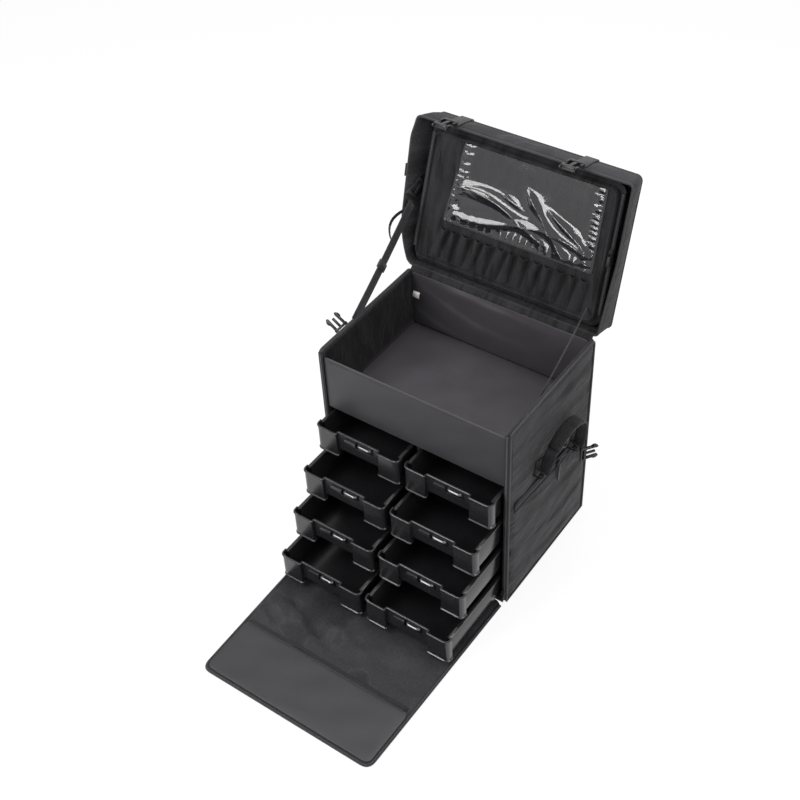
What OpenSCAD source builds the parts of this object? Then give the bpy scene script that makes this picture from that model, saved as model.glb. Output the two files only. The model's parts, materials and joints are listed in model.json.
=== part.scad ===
// Soft-sided rolling case: an open-topped tray under a hinged lid, eight
// drawers behind a drop-down front flap, and a telescopic pull handle with
// two wheels on the left-hand side. Drawn open: lid up, flap down, drawers out.
// Origin on the floor under the middle of the case; +X right, +Y to the back.

/* [Case] */
// Width of the case over its side walls
case_w = 380; // [340:1:440]
// Depth of the case from front plane to back face
case_d = 276; // [260:1:320]
// Height of the wall tops above the floor
case_h = 428; // [420:1:480]
// Thickness of the padded walls
wall_t = 6; // [4:0.5:8]
// Thickness of the base board and of the tray floor
board_t = 4; // [3:0.5:6]
// Height of the moulded pan under the base board
pan_h = 4; // [3:0.5:8]
// Distance from the case's edges to the edges of the pan
pan_inset = 20; // [12:1:40]
// Thickness of the divider between the drawer columns
divider_t = 6; // [4:0.5:8]
// Diameter of the cord piping at the upright edges
piping_d = 4; // [3:0.5:5]

/* [Tray] */
// Height of the tray's front panel
tray_front_h = 115; // [90:1:122]
// Thickness of the tray's front panel
tray_front_t = 3; // [2:0.5:4]
// How far the panel's top edge lies below the wall tops
tray_front_drop = 12; // [6:1:20]

/* [Drawers] */
// Height of a drawer
drawer_h = 55.5; // [46:0.5:58]
// Gap between the top row of drawers and the tray
tray_gap = 12; // [6:0.5:16]
// Height of the lowest drawer's underside above the floor
drawer_z = 16; // [14:0.5:18]
// Gap behind a shut drawer
drawer_back_gap = 13; // [8:0.5:40]
// Thickness of the drawer walls
drawer_wall = 2; // [1.5:0.1:3]
// Depth of the drawer front with its wrapped corners
front_depth = 14; // [12:0.5:18]
// Radius of the drawer front's corners
front_corner_r = 8; // [5:0.5:10]
// Width of the set-back middle of the drawer front
recess_w = 88; // [70:1:100]
// How far the middle of the drawer front is set back
recess_depth = 7; // [4:0.5:8]
// Height of the gap under the middle of the drawer front
recess_cut_h = 14; // [8:0.5:18]
// How far the rim bead stands out of the drawer front
bead_out = 1.8; // [1:0.1:2]
// Height of the rim bead
bead_h = 4; // [3:0.5:6]
// How far the drawer front overhangs the box on each side
front_overhang = 6; // [5.5:0.5:8]
// Gap between the drawer front and the sides of its bay
front_gap = 3; // [2.5:0.5:5]
// How far a shut drawer sits behind the front plane
shut_set_back = 2; // [1:0.5:4]
// Width of the flange that hangs a drawer on its runners
flange_w = 5; // [4:0.5:5]
// Thickness of that flange
flange_t = 2.5; // [2:0.5:4]
// Running gap between a flange and its runner
runner_gap = 0.3; // [0.2:0.1:0.5]
// Width of a runner
runner_w = 7.5; // [6:0.5:8]
// Height of a runner
runner_h = 8; // [5:0.5:12]
// How far the top row is pulled out
out_row_1 = 40; // [0:1:120]
// How far the second row is pulled out
out_row_2 = 89; // [0:1:140]
// How far the third row is pulled out
out_row_3 = 130; // [0:1:160]
// How far the bottom row is pulled out
out_row_4 = 175; // [0:1:185]

/* [Drawer pull] */
// Length of the pull on a drawer front
pull_w = 54; // [40:1:64]
// Height of the pull
pull_h = 11; // [8:0.5:14]
// How far the pull stands out of the set-back middle
pull_out = 5; // [3:0.5:6]
// Width of the finger slot in the pull
pull_slot_w = 14; // [10:1:18]

/* [Lid] */
// How far the lid reaches past each side of the case
lid_overhang = 6; // [5:0.5:10]
// How far the lid reaches past the front of the case
lid_front_over = 6; // [5:0.5:10]
// Depth of the lid's walls
lid_depth = 50; // [40:1:60]
// Thickness of the lid's panel and walls
lid_t = 4; // [3:0.5:5]
// Radius of the lid's corners
lid_corner_r = 10; // [8:1:24]
// How far the soft left wall of the lid leans out at its mouth
lid_flare_left = 28; // [20:1:34]
// How far the right wall of the lid leans out at its mouth
lid_flare_right = 8; // [0:1:14]
// Angle of the open lid from shut
lid_open = 104.5; // [92:0.5:112]
// Depth of the lining below the lid's mouth
lining_at = 16; // [14:0.5:24]
// Thickness of the lining
lining_t = 2; // [1:0.5:3]
// Gap between the padded inner panel and the lid's walls
inner_gap = 14; // [12:0.5:20]
// Thickness of the padded inner panel
inner_t = 8; // [5:0.5:10]
// How much wider the inner panel is on the left at its hinge end
inner_spread = 14; // [0:1:16]
// Thickness of the clear pocket film
film_t = 1.2; // [0.8:0.1:2]
// Length of the clear pocket, along the lid
film_len = 148; // [110:1:160]
// Margin beside the clear pocket
film_margin = 33; // [14:1:60]
// Length of the brush slots
brush_len = 60; // [45:1:64]
// Margin beside the band of brush slots
brush_margin = 22; // [14:1:40]
// Number of brush slots
brush_slots = 13; // [8:1:16]
// Depth of the pleats of the brush slots
brush_t = 3.5; // [2:0.5:4]
// Diameter of the hinge cord of the lid
lid_cord_d = 3.6; // [2.6:0.2:4.4]

/* [Flap] */
// How much shorter than the case's height the front flap is
flap_short = 18; // [6:1:40]
// How far the flap's edges lie inside the case's sides
flap_inset = 3; // [2:0.5:10]
// Thickness of the front flap
flap_t = 5; // [3:0.5:6]
// Radius of the flap's outer corners
flap_corner_r = 18; // [8:1:30]
// Length of the smooth pocket at the flap's outer end
flap_pocket_len = 115; // [80:1:140]
// Thickness of the pocket
flap_pocket_t = 2; // [1:0.5:4]
// Margin round the pocket
flap_pocket_margin = 6; // [4:0.5:14]
// Width of the binding along the flap's edges
binding_w = 10; // [6:1:16]
// Thickness of the binding
binding_t = 1.5; // [1:0.5:2]
// Diameter of the hinge cord of the flap
flap_cord_d = 4; // [3:0.2:4]

/* [Zips and straps] */
// Thickness of the zip tape
zip_tape_t = 2; // [1:0.5:3]
// Height of the zip's teeth above the tape
zip_teeth_h = 1.2; // [0.8:0.1:1.5]
// Width of the row of teeth
zip_teeth_w = 3; // [2:0.5:4]
// Running gap between a zip's slider and its teeth
slider_gap = 0.3; // [0.2:0.1:0.5]
// Width of the webbing straps
webbing_w = 24; // [18:1:30]
// Thickness of the webbing straps
webbing_t = 1.6; // [1.2:0.1:2]
// Width of the side-release buckles
buckle_w = 30; // [26:1:32]
// Thickness of the side-release buckles
buckle_t = 8; // [6:0.5:10]
// Length of the socket half of a buckle
socket_len = 38; // [30:1:44]
// Length of the plug half of a buckle
plug_len = 36; // [30:1:44]

/* [Side pocket and handle] */
// Thickness of the side pocket's panel
pocket_t = 3; // [2:0.5:4]
// Height of the pocket's zip at the middle of the side
pocket_zip_z = 230; // [200:1:234]
// Fall of the pocket's zip towards the back, in degrees
pocket_zip_tilt = 5; // [0:0.5:10]
// Width of the pocket's zip tape
pocket_zip_w = 14; // [10:1:18]
// Distance between the handle's two ends
handle_span = 124; // [110:1:136]
// Height of the handle's arch above its pins
handle_rise = 78; // [70:1:92]
// Width of the handle's padded band
handle_w = 22; // [18:1:22]
// Thickness of the handle's padded band
handle_t = 12; // [8:0.5:14]
// Lean of the handle away from the wall, in degrees
handle_lean = 6; // [6:1:40]
// Diameter of the handle's pins
handle_pin_d = 7; // [5:0.5:8]
// Height of the handle's pins above the floor
handle_pin_z = 248; // [246:1:260]
// Fall of the handle towards the back, in degrees
handle_tilt = 16; // [8:1:17]
// Diameter of the ring's wire
ring_wire_d = 4; // [3:0.2:5]
// Width of the ring inside its bow
ring_bow_w = 24; // [22:1:28]

/* [Wheels] */
// Diameter of the wheels over the tyre
wheel_d = 52; // [44:1:56]
// Width of the wheels
wheel_w = 20; // [14:1:24]
// Diameter of the wheel hub
hub_d = 38; // [30:1:40]
// Diameter of the axles
axle_d = 8; // [6:0.5:10]
// Radial running clearance of the wheels on their axles
axle_clearance = 0.06; // [0.02:0.01:0.1]
// Thickness of the wheel housings' walls
housing_t = 4; // [3:0.5:6]
// Gap between a wheel and the inside of its housing
wheel_gap = 2; // [1:0.5:4]
// Distance of the wheels from the case's front and back
wheel_inset = 38; // [20:1:44]

/* [Pull handle] */
// Diameter of the fixed outer tubes
tube_d = 18; // [16:0.5:20]
// Wall thickness of the tubes
tube_wall = 1.3; // [1:0.1:1.6]
// Sliding clearance between one tube and the next
tube_clearance = 0.2; // [0.1:0.05:0.3]
// Distance between the two tubes
tube_span = 84; // [80:1:100]
// Place of the handle's middle along the side
pull_handle_y = 38; // [36:1:50]
// Gap between the tubes and the wall
tube_stand_off = 14; // [13:0.5:18]
// Height of the tubes' lower ends above the floor
tube_z = 88; // [88:1:110]
// Depth of the outer tubes' upper ends below the wall tops
tube_drop = 96; // [90:1:130]
// Height of the tubes' bracket and collar
collar_h = 24; // [16:1:30]
// Thickness of the plate that joins the middle tubes
stage_plate_t = 5; // [3:0.5:8]
// Height of the grip
grip_h = 26; // [20:1:30]
// Thickness of the grip
grip_t = 21; // [18:0.5:24]
// How far the grip reaches past each tube
grip_over = 16; // [12:1:24]
// Length of the grip's button
button_len = 24; // [16:1:30]
// Width of the grip's button
button_w = 10; // [8:0.5:12]
// How far the button stands out of the grip, and travels
button_out = 4; // [2:0.5:5]
// Gap round the button
button_gap = 0.4; // [0.3:0.1:0.6]

/* [Hidden] */
$fn = 48;
touch = 0.3;
rows = 4;
half_w = case_w / 2;
half_d = case_d / 2;
inner_w = case_w - 2 * wall_t;
base_z = pan_h;
pan_corner_r = 12;
floor_z = base_z + board_t;
tray_z = case_h - tray_front_drop - tray_front_h;
tray_front_y = -half_d + 1;

// Drawers, counted from the top row
outs = [out_row_1, out_row_2, out_row_3, out_row_4];
bay_w = (inner_w - divider_t) / 2;
bay_x = divider_t / 2 + bay_w / 2;
front_w = bay_w - 2 * front_gap;
box_w = front_w - 2 * front_overhang;
drawer_len = case_d - wall_t - shut_set_back - drawer_back_gap;
row_pitch = (tray_z - tray_gap - drawer_h - drawer_z) / (rows - 1);
ledge_y = front_depth + 4;
runner_y = -half_d + shut_set_back + front_depth + 6;
function row_z(row) = drawer_z + (rows - row) * row_pitch;

// Lid, drawn shut with its front towards -Y, then turned up about its hinge
lid_axis_y = half_d;
lid_axis_z = case_h + 1.3;
lid_w = case_w + 2 * lid_overhang;
lid_len = case_d + lid_front_over;
lid_root = lid_cord_d / 2 + touch;
lid_wall_z = 0.3;
inner_w_lid = lid_w - 2 * lid_t - 2 * inner_gap;
inner_front = lid_len - lid_t - inner_gap;
inner_back = lid_root + lid_t + inner_gap;
inner_z = lining_at - inner_t;
inner_corner_r = 14;
film_w = inner_w_lid - 2 * film_margin;
film_inset = 6;
brush_w = inner_w_lid - 2 * brush_margin;
brush_gap = 12;
lining_margin = 9;
skirt_inset = 4;
film_shift = 10;
brush_shift = 6;
flare_start = 42;
flare_ease = 8;
left_wall_lean = atan2(lid_flare_left, lid_depth - lid_t - lid_wall_z + 2);
front_buckle_x = [-142, 102];
side_strap_r = 176;
lid_strap_run = 80;
lid_strap_below = 18;
socket_below = 40;
side_socket_r = 143;
side_socket_in = 22;
side_socket_turn = 38;
lid_slider_r = 152;
lid_slider_body = [6, 10, 4];
lid_slider_pull = [4, 28, 2];

// Halves of the side-release buckles
plug_bar = 10;
plug_guide_w = 5;
plug_prong_w = 4.5;
plug_tip_d = 8;
socket_round = 4;
socket_window_r = 7;
socket_window_at = [buckle_w / 2 + 3, 14];
socket_bar = [webbing_w, 6, 1];
socket_bar_in = 9;

// Flap
flap_axis_y = -half_d - flap_cord_d / 2;
flap_axis_z = base_z + touch;
flap_start_y = flap_axis_y - flap_cord_d / 2 - touch;
flap_w = case_w - 2 * flap_inset;
flap_end_y = -half_d - (case_h - flap_short);
binding_gap = 10;

// Front zips and their sliders
zip_front_y = -half_d - zip_tape_t;
teeth_front_y = zip_front_y - zip_teeth_h;
slider_body = [5, 5.5, 12];
slider_z = 34;
pull_drop = 26;
pull_tab_t = 2;
pull_tab_w = 4;

// Side pocket, handle and ring, on the right wall
zip_short_back = 84;
zip_short_front = 16;
zip_back_y = half_d - zip_short_back;
zip_front_end_y = -half_d + zip_short_front;
zip_end = 6;
pocket_edge = 10;
slider_from_back = 32;
slider_along_zip = zip_back_y - slider_from_back;
pocket_slider_body = [4, 12, 8];
pocket_slider_pull = [2, 6, 42];
handle_y = 17;
handle_stand_off = handle_w / 2 + 2.5;
handle_eye_d = handle_pin_d + 9;
handle_eye_w = 22;
handle_cheek_t = 3;
handle_cheek_d = 11;
handle_patch = [2, -8, 20];
ring_behind = 28;
ring_at = [half_w + 5.6, handle_y + ring_behind, 264];
ring_tab_w = 14;
ring_tab_h = 24;

// Straps with plug buckles
strap_patch = 22;
plug_from_edge = 60;
left_plug_in = 88;
left_plug_below = 32;
left_plug = [-half_w, -half_d + left_plug_in, case_h - left_plug_below];
left_plug_turn = 57;
left_plug_run = 14;
right_plug = [half_w + pocket_t, half_d - plug_from_edge, 194];
right_plug_turn = 35;
right_plug_run = 14;

// Stay straps: ends at the case and at the lid
left_stay_case = [-half_w, -36, case_h - 6];
left_stay_lid = [-lid_w / 2 - 9, 118, 4];
right_stay_case = [half_w - wall_t, -45, case_h - 12];
right_stay_lid = [163, 45];
ribbon_w = 6;

// Wheels and pull handle, on the left wall
wheel_x = -half_w - housing_t - wheel_gap - wheel_d / 2;
wheel_z = wheel_d / 2;
wheel_track = case_d - 2 * wheel_inset;
housing_round = 20;
housing_low = wheel_z - 8;
hub_boss_d = axle_d + 8;
housing_w = wheel_w + 2 * (wheel_gap + housing_t);
housing_top = wheel_d + wheel_gap + 2 + housing_t;
tube_x = -half_w - tube_stand_off - tube_d / 2;
stage_d = tube_d - 2 * tube_wall - 2 * tube_clearance;
rod_d = stage_d - 2 * tube_wall - 2 * tube_clearance;
tube_top = case_h - tube_drop;
tube_len = tube_top - tube_z;
collar_size = [tube_d + 6, tube_span + tube_d + 12];
stage_plate_z = tube_top + 1;
grip_z = stage_plate_z + stage_plate_t + 1;
grip_len = tube_span + 2 * grip_over;
pull_y = [pull_handle_y - tube_span / 2, pull_handle_y + tube_span / 2];

fabric = "#2b2a2d";
smooth_fabric = "#3f3c42";
webbing = "#1c1c1e";
plastic = "#222124";
glossy = "#1a191b";
metal = "#b9bcc0";
rubber = "#161616";

// A block between two opposite corners
module block(low, high) {
    translate(low) cube(high - low);
}

// A rectangle with round corners, about its centre
module round_rect(size, r) {
    square([size.x - 2 * r, size.y], center = true);
    square([size.x, size.y - 2 * r], center = true);
    for (sx = [-1, 1], sy = [-1, 1])
        translate([sx * (size.x / 2 - r), sy * (size.y / 2 - r)]) circle(r);
}

// A rectangle from y0 to y1 whose corners at the y0 end are round
module tongue(w, y0, y1, r) {
    translate([-w / 2 + r, y0]) square([w - 2 * r, y1 - y0]);
    translate([-w / 2, y0 + r]) square([w, y1 - y0 - r]);
    for (s = [-1, 1]) translate([s * (w / 2 - r), y0 + r]) circle(r);
}

module mirrored() {
    children();
    mirror([1, 0, 0]) children();
}

// Flat shapes drawn in Y and Z, raised outwards from the right wall
module on_right_wall(height) {
    translate([half_w, 0, 0]) rotate([90, 0, 90]) linear_extrude(height) children();
}

// Places a piece along the side pocket's zip
module along_pocket_zip() {
    translate([half_w, 0, pocket_zip_z]) rotate([-pocket_zip_tilt, 0, 0]) children();
}

// Turns a piece of the shut lid up to where it stands open
module in_lid() {
    translate([0, lid_axis_y, lid_axis_z]) rotate([-lid_open, 0, 0]) children();
}

// Case

module base_board() {
    color(fabric) block([-inner_w / 2, -half_d, base_z], [inner_w / 2, half_d - wall_t, floor_z]);
}

module side_wall() {
    color(fabric) block([half_w - wall_t, -half_d, base_z], [half_w, half_d, case_h]);
}

module left_wall() {
    mirror([1, 0, 0]) side_wall();
}

module right_wall() {
    side_wall();
}

module back_wall() {
    color(fabric) block([-inner_w / 2, half_d - wall_t, base_z],
        [inner_w / 2, half_d, lid_axis_z - lid_cord_d / 2]);
}

module tray_floor() {
    color(smooth_fabric)
        block([-inner_w / 2, tray_front_y + tray_front_t, tray_z],
            [inner_w / 2, half_d - wall_t, tray_z + board_t]);
}

module tray_front() {
    color(smooth_fabric)
        block([-inner_w / 2, tray_front_y, tray_z],
            [inner_w / 2, tray_front_y + tray_front_t, tray_z + tray_front_h]);
}

module cabinet_divider() {
    color(fabric) block([-divider_t / 2, runner_y - 8, floor_z], [divider_t / 2, half_d - wall_t, tray_z]);
}

// Two ledges for each drawer, which its flanges hang on
module drawer_runners() {
    color(plastic) for (row = [1:rows], column = [-1, 1], side = [0, 1]) {
        top = row_z(row) + drawer_h - flange_t - runner_gap;
        x = column * (side == 0 ? divider_t / 2 : inner_w / 2 - runner_w);
        translate([column > 0 ? x : x - runner_w, runner_y, top - runner_h])
            cube([runner_w, half_d - wall_t - runner_y, runner_h]);
    }
}

// Cords in the upright seams of the side walls
module wall_piping() {
    color(webbing) mirrored() for (y = [-half_d + piping_d / 2, half_d - piping_d / 2])
        translate([half_w + piping_d / 2, y, base_z]) cylinder(d = piping_d, h = case_h - base_z);
}

// Zip tape with its teeth on the front edges of the side walls
module front_zip_tape() {
    low = floor_z + 2;
    high = case_h - 4;
    color(webbing) mirrored() {
        block([half_w - wall_t, zip_front_y, low], [half_w, -half_d, high]);
        translate([half_w - wall_t / 2 - zip_teeth_w / 2, teeth_front_y, low])
            cube([zip_teeth_w, zip_teeth_h, high - low]);
    }
}

// Moulded pan that the case stands on
module base_pan() {
    color(plastic) linear_extrude(pan_h)
        round_rect([case_w - 2 * pan_inset, case_d - 2 * pan_inset], pan_corner_r);
}

// Side pocket, carry handle and straps

function zip_line_z(y) = pocket_zip_z - tan(pocket_zip_tilt) * y;

module side_pocket() {
    edge = half_d - pocket_edge;
    under = pocket_zip_w / 2 + 1;
    color(fabric) on_right_wall(pocket_t)
        polygon([[-edge, base_z + pocket_edge], [edge, base_z + pocket_edge],
            [edge, zip_line_z(edge) - under], [-edge, zip_line_z(-edge) - under]]);
}

module pocket_zip() {
    color(webbing) along_pocket_zip() {
        block([0, zip_front_end_y, -pocket_zip_w / 2], [zip_tape_t, zip_back_y, pocket_zip_w / 2]);
        block([zip_tape_t, zip_front_end_y + zip_end, -zip_teeth_w / 2],
            [zip_tape_t + zip_teeth_h, zip_back_y - zip_end, zip_teeth_w / 2]);
    }
}

module pocket_zip_slider() {
    seat = zip_tape_t + zip_teeth_h + slider_gap;
    body = pocket_slider_body;
    pull = pocket_slider_pull;
    color(metal) along_pocket_zip() translate([seat, slider_along_zip, 0]) {
        translate([0, -body.y / 2, -body.z / 2]) cube(body);
        translate([body.x, -pull.y / 2, body.z / 4 - pull.z]) cube(pull);
    }
}

// Places a piece on the right wall, midway between the handle's pins
module at_handle() {
    translate([half_w, handle_y, handle_pin_z]) rotate([-handle_tilt, 0, 0]) children();
}

// Two brackets with the pins that the carry handle turns on
module handle_tabs() {
    pin_x = handle_stand_off;
    reach = handle_eye_w / 2 + touch;
    color(webbing) at_handle() for (s = [-1, 1]) translate([0, s * handle_span / 2, 0]) {
        block([0, -reach - handle_cheek_t, handle_patch[1]],
            [handle_patch[0], reach + handle_cheek_t, handle_patch[2]]);
        for (side = [-1, 1]) translate([0, side * (reach + handle_cheek_t / 2), 0]) {
            block([0, -handle_cheek_t / 2, -handle_cheek_d / 2],
                [pin_x, handle_cheek_t / 2, handle_cheek_d / 2]);
            translate([pin_x, 0, 0]) rotate([90, 0, 0])
                cylinder(d = handle_cheek_d, h = handle_cheek_t, center = true);
        }
        translate([pin_x, 0, 0]) rotate([90, 0, 0])
            cylinder(d = handle_pin_d, h = 2 * reach + handle_cheek_t, center = true);
    }
}

// Padded arch with an eye at each end
module carry_handle() {
    bow_r = handle_span / 2;
    leg = handle_rise - bow_r;
    color(webbing) at_handle() translate([handle_stand_off, 0, 0]) rotate([0, handle_lean, 0])
        difference() {
            union() {
                translate([0, 0, leg]) rotate([90, 0, 90]) rotate_extrude(angle = 180)
                    translate([bow_r, 0]) round_rect([handle_t, handle_w], handle_t / 2 - 0.5);
                for (s = [-1, 1]) translate([0, s * bow_r, 0]) {
                    linear_extrude(leg) rotate(90) round_rect([handle_t, handle_w], handle_t / 2 - 0.5);
                    rotate([90, 0, 0]) cylinder(d = handle_eye_d, h = handle_eye_w, center = true);
                }
            }
            for (s = [-1, 1]) translate([0, s * bow_r, 0]) rotate([90, 0, 0])
                cylinder(d = handle_pin_d + 2 * touch, h = handle_eye_w + 1, center = true);
        }
}

// Webbing loop that holds the ring
module ring_tab() {
    loop_d = ring_wire_d + 4;
    color(webbing) translate(ring_at) {
        difference() {
            union() {
                rotate([90, 0, 0]) cylinder(d = loop_d, h = ring_tab_w, center = true);
                block([half_w - ring_at.x, -ring_tab_w / 2, 0], [0, ring_tab_w / 2, loop_d / 2]);
            }
            rotate([90, 0, 0]) cylinder(d = ring_wire_d + 2 * touch, h = ring_tab_w + 1, center = true);
        }
        block([half_w - ring_at.x, -ring_tab_w / 2, loop_d / 2],
            [half_w - ring_at.x + webbing_t, ring_tab_w / 2, ring_tab_h]);
    }
}

// Ring with a straight bar and a round bow
module handle_ring() {
    color(plastic) translate(ring_at) {
        rotate([90, 0, 0]) cylinder(d = ring_wire_d, h = ring_bow_w, center = true);
        rotate([-90, 0, 90]) rotate_extrude(angle = 180) translate([ring_bow_w / 2, 0]) circle(d = ring_wire_d);
        for (s = [-1, 1]) translate([0, s * ring_bow_w / 2, 0]) sphere(d = ring_wire_d);
    }
}

// Webbing that lies flat along Y, then bends towards +X
module bent_strap(turn, run) {
    flat = strap_patch;
    end = run * [sin(turn), cos(turn)];
    linear_extrude(webbing_w, center = true)
        polygon([[0, -flat], [0, 0], end, end + webbing_t * [cos(turn), -sin(turn)],
            [webbing_t, -webbing_t * tan(turn / 2)], [webbing_t, -flat]]);
}

// Webbing on the side walls: flat, then bent outwards to its buckle
module side_straps() {
    color(webbing) {
        translate(left_plug) mirror([1, 0, 0]) rotate([90, 0, 0]) bent_strap(left_plug_turn, left_plug_run);
        translate(right_plug) bent_strap(right_plug_turn, right_plug_run);
    }
}

// Plug half of a side-release buckle, lying flat with its prongs towards +Y
module plug_buckle() {
    prong = plug_len - plug_bar - plug_tip_d / 2;
    linear_extrude(buckle_t) {
        translate([-buckle_w / 2, 0]) square([buckle_w, plug_bar]);
        translate([-plug_guide_w / 2, plug_bar]) square([plug_guide_w, prong]);
        mirrored() {
            translate([buckle_w / 2 - plug_prong_w, plug_bar]) square([plug_prong_w, prong]);
            translate([(buckle_w - plug_prong_w - 1) / 2, plug_bar + prong]) circle(d = plug_tip_d);
        }
    }
}

// A plug buckle at the end of a bent strap
module bent_plug(turn, run) {
    rotate(-turn) translate([(webbing_t - buckle_t) / 2, run, 0]) rotate([0, 90, 0]) plug_buckle();
}

module male_buckles() {
    color(plastic) {
        translate(left_plug) mirror([1, 0, 0]) rotate([90, 0, 0]) bent_plug(left_plug_turn, left_plug_run);
        translate(right_plug) bent_plug(right_plug_turn, right_plug_run);
    }
}

module lid_hinge_cord() {
    color(webbing) translate([0, lid_axis_y, lid_axis_z]) rotate([0, 90, 0])
        cylinder(d = lid_cord_d, h = inner_w, center = true);
}

module flap_hinge_cord() {
    color(webbing) translate([0, flap_axis_y, flap_axis_z]) rotate([0, 90, 0])
        cylinder(d = flap_cord_d, h = inner_w, center = true);
}

// A flat strap between two ends that are each given as a point
module strap_between(a, b, w) {
    turn = atan2(b.z - a.z, b.y - a.y);
    hull() for (p = [a, b])
        translate(p) rotate([turn, 0, 0]) cube([webbing_t, 0.1, w], center = true);
}

// A point of the lid, given by its side, its distance from the hinge and its depth
function lid_point(x, r, depth) = [x,
    lid_axis_y - r * cos(lid_open) + depth * sin(lid_open),
    lid_axis_z + r * sin(lid_open) + depth * cos(lid_open)];

// Webbing on the left and a narrow ribbon on the right, which stop the open lid
module stay_straps() {
    out = [webbing_t / 2 + touch, 0, 0];
    color(webbing) {
        strap_between(left_stay_case - out,
            lid_point(left_stay_lid.x, left_stay_lid.y, left_stay_lid.z), webbing_w);
        strap_between(right_stay_case - out,
            lid_point(right_stay_lid.x, right_stay_lid.y, inner_z - ribbon_w), ribbon_w);
    }
}

// Wheels and pull handle

module wheel_housings() {
    color(plastic) for (s = [-1, 1]) translate([0, s * wheel_track / 2, 0]) difference() {
        translate([0, housing_w / 2, 0]) rotate([90, 0, 0]) linear_extrude(housing_w) {
            translate([-half_w - wheel_d - 2, housing_low])
                square([wheel_d + 2, housing_top - housing_round - housing_low]);
            translate([-half_w - wheel_d - 2 + housing_round, housing_low])
                square([wheel_d + 2 - housing_round, housing_top - housing_low]);
            translate([-half_w - wheel_d - 2 + housing_round, housing_top - housing_round])
                circle(housing_round);
        }
        cavity = wheel_w / 2 + wheel_gap;
        block([-half_w - 2 * wheel_d, -cavity, 0], [-half_w - housing_t, cavity, housing_top - housing_t]);
        translate([wheel_x, 0, wheel_z]) rotate([90, 0, 0])
            cylinder(d = axle_d, h = 2 * housing_w, center = true);
    }
}

module wheel_axles() {
    color(metal) for (s = [-1, 1]) translate([wheel_x, s * wheel_track / 2, wheel_z]) rotate([90, 0, 0])
        cylinder(d = axle_d, h = housing_w, center = true);
}

module wheel_hub(s) {
    color(plastic) translate([wheel_x, s * wheel_track / 2, wheel_z]) rotate([90, 0, 0]) difference() {
        union() {
            cylinder(d = hub_d, h = wheel_w - 4, center = true);
            cylinder(d = hub_boss_d, h = wheel_w + wheel_gap, center = true);
        }
        cylinder(r = axle_d / 2 + axle_clearance, h = wheel_w + 10, center = true);
        for (side = [-1, 1]) translate([0, 0, side * (wheel_w / 2 - 2)]) difference() {
            cylinder(d = hub_d - 6, h = 6, center = true);
            cylinder(d = hub_boss_d, h = 8, center = true);
        }
    }
}

module tyre(s) {
    edge = 3;
    color(rubber) translate([wheel_x, s * wheel_track / 2, wheel_z]) rotate([90, 0, 0]) rotate_extrude()
        translate([(hub_d + wheel_d) / 4, 0]) round_rect([(wheel_d - hub_d) / 2, wheel_w], edge);
}

module trolley_base() {
    color(plastic) difference() {
        translate([tube_x, pull_handle_y, tube_z - collar_h]) linear_extrude(collar_h)
            round_rect(collar_size, 6);
        block([-half_w, -case_d, 0], [0, case_d, case_h]);
    }
    color(plastic) block([tube_x, pull_handle_y - tube_span / 2, tube_z - collar_h],
        [-half_w, pull_handle_y + tube_span / 2, tube_z]);
}

module trolley_tubes() {
    color(metal) for (y = pull_y) translate([tube_x, y, tube_z]) difference() {
        cylinder(d = tube_d, h = tube_len);
        translate([0, 0, -1]) cylinder(d = tube_d - 2 * tube_wall, h = tube_len + 2);
    }
}

module trolley_collar() {
    color(plastic) difference() {
        union() {
            translate([tube_x, pull_handle_y, tube_top - collar_h]) linear_extrude(collar_h)
                round_rect(collar_size, 6);
            block([tube_x, pull_handle_y - tube_span / 2, tube_top - collar_h],
                [-half_w, pull_handle_y + tube_span / 2, tube_top]);
        }
        for (y = pull_y) translate([tube_x, y, tube_top - collar_h - 1]) cylinder(d = tube_d, h = collar_h + 2);
    }
}

// Middle tubes, joined by a plate above the collar
module stage_tubes() {
    bottom = tube_z + 2;
    color(metal) difference() {
        union() {
            for (y = pull_y) translate([tube_x, y, bottom])
                cylinder(d = stage_d, h = stage_plate_z - bottom + 1);
            translate([tube_x, pull_handle_y, stage_plate_z]) linear_extrude(stage_plate_t)
                round_rect([tube_d + 2, tube_span + tube_d + 4], 6);
        }
        for (y = pull_y) translate([tube_x, y, bottom - 1])
            cylinder(d = stage_d - 2 * tube_wall, h = grip_z - bottom);
    }
}

module handle_rods() {
    bottom = tube_z + 4;
    color(metal) for (y = pull_y) translate([tube_x, y, bottom]) cylinder(d = rod_d, h = grip_z - bottom);
}

module trolley_grip() {
    pocket = [button_w + 2 * button_gap, button_len + 2 * button_gap];
    color(plastic) translate([tube_x, pull_handle_y, 0]) difference() {
        translate([-grip_t / 2, 0, grip_z + grip_h / 2]) rotate([90, 0, 90]) linear_extrude(grip_t)
            round_rect([grip_len, grip_h], 9);
        translate([0, 0, grip_z + grip_h - button_out - 4]) linear_extrude(button_out + 8)
            round_rect(pocket, pocket.x / 2 - 0.5);
    }
}

module grip_button() {
    color(plastic) translate([tube_x, pull_handle_y, grip_z + grip_h - button_out - 4 + button_out + touch])
        linear_extrude(button_out + 4 - touch) round_rect([button_w, button_len], button_w / 2 - 0.5);
}

// Lid, drawn shut: x across, -y from the hinge to the front, z up from the mouth

module lid_outline(grow) {
    translate([0, -(lid_len + lid_root) / 2])
        round_rect([lid_w + 2 * grow, lid_len - lid_root + 2 * grow], lid_corner_r + grow);
}

module lid_panel() {
    color(fabric) in_lid() translate([0, 0, lid_depth - lid_t]) linear_extrude(lid_t) lid_outline(0);
}

// Outline of the lid's mouth, where its soft side walls lean out
module lid_mouth(grow) {
    left = -lid_w / 2 - lid_flare_left + lid_corner_r;
    right = lid_w / 2 + lid_flare_right - lid_corner_r;
    front = lid_len - lid_corner_r;
    hull() {
        lid_outline(grow);
        for (p = [[left, flare_start], [left, lid_len - flare_start], [left + flare_ease, front],
            [right, lid_len / 2], [right, front]])
            translate([p.x, -p.y]) circle(lid_corner_r + grow);
    }
}

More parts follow.
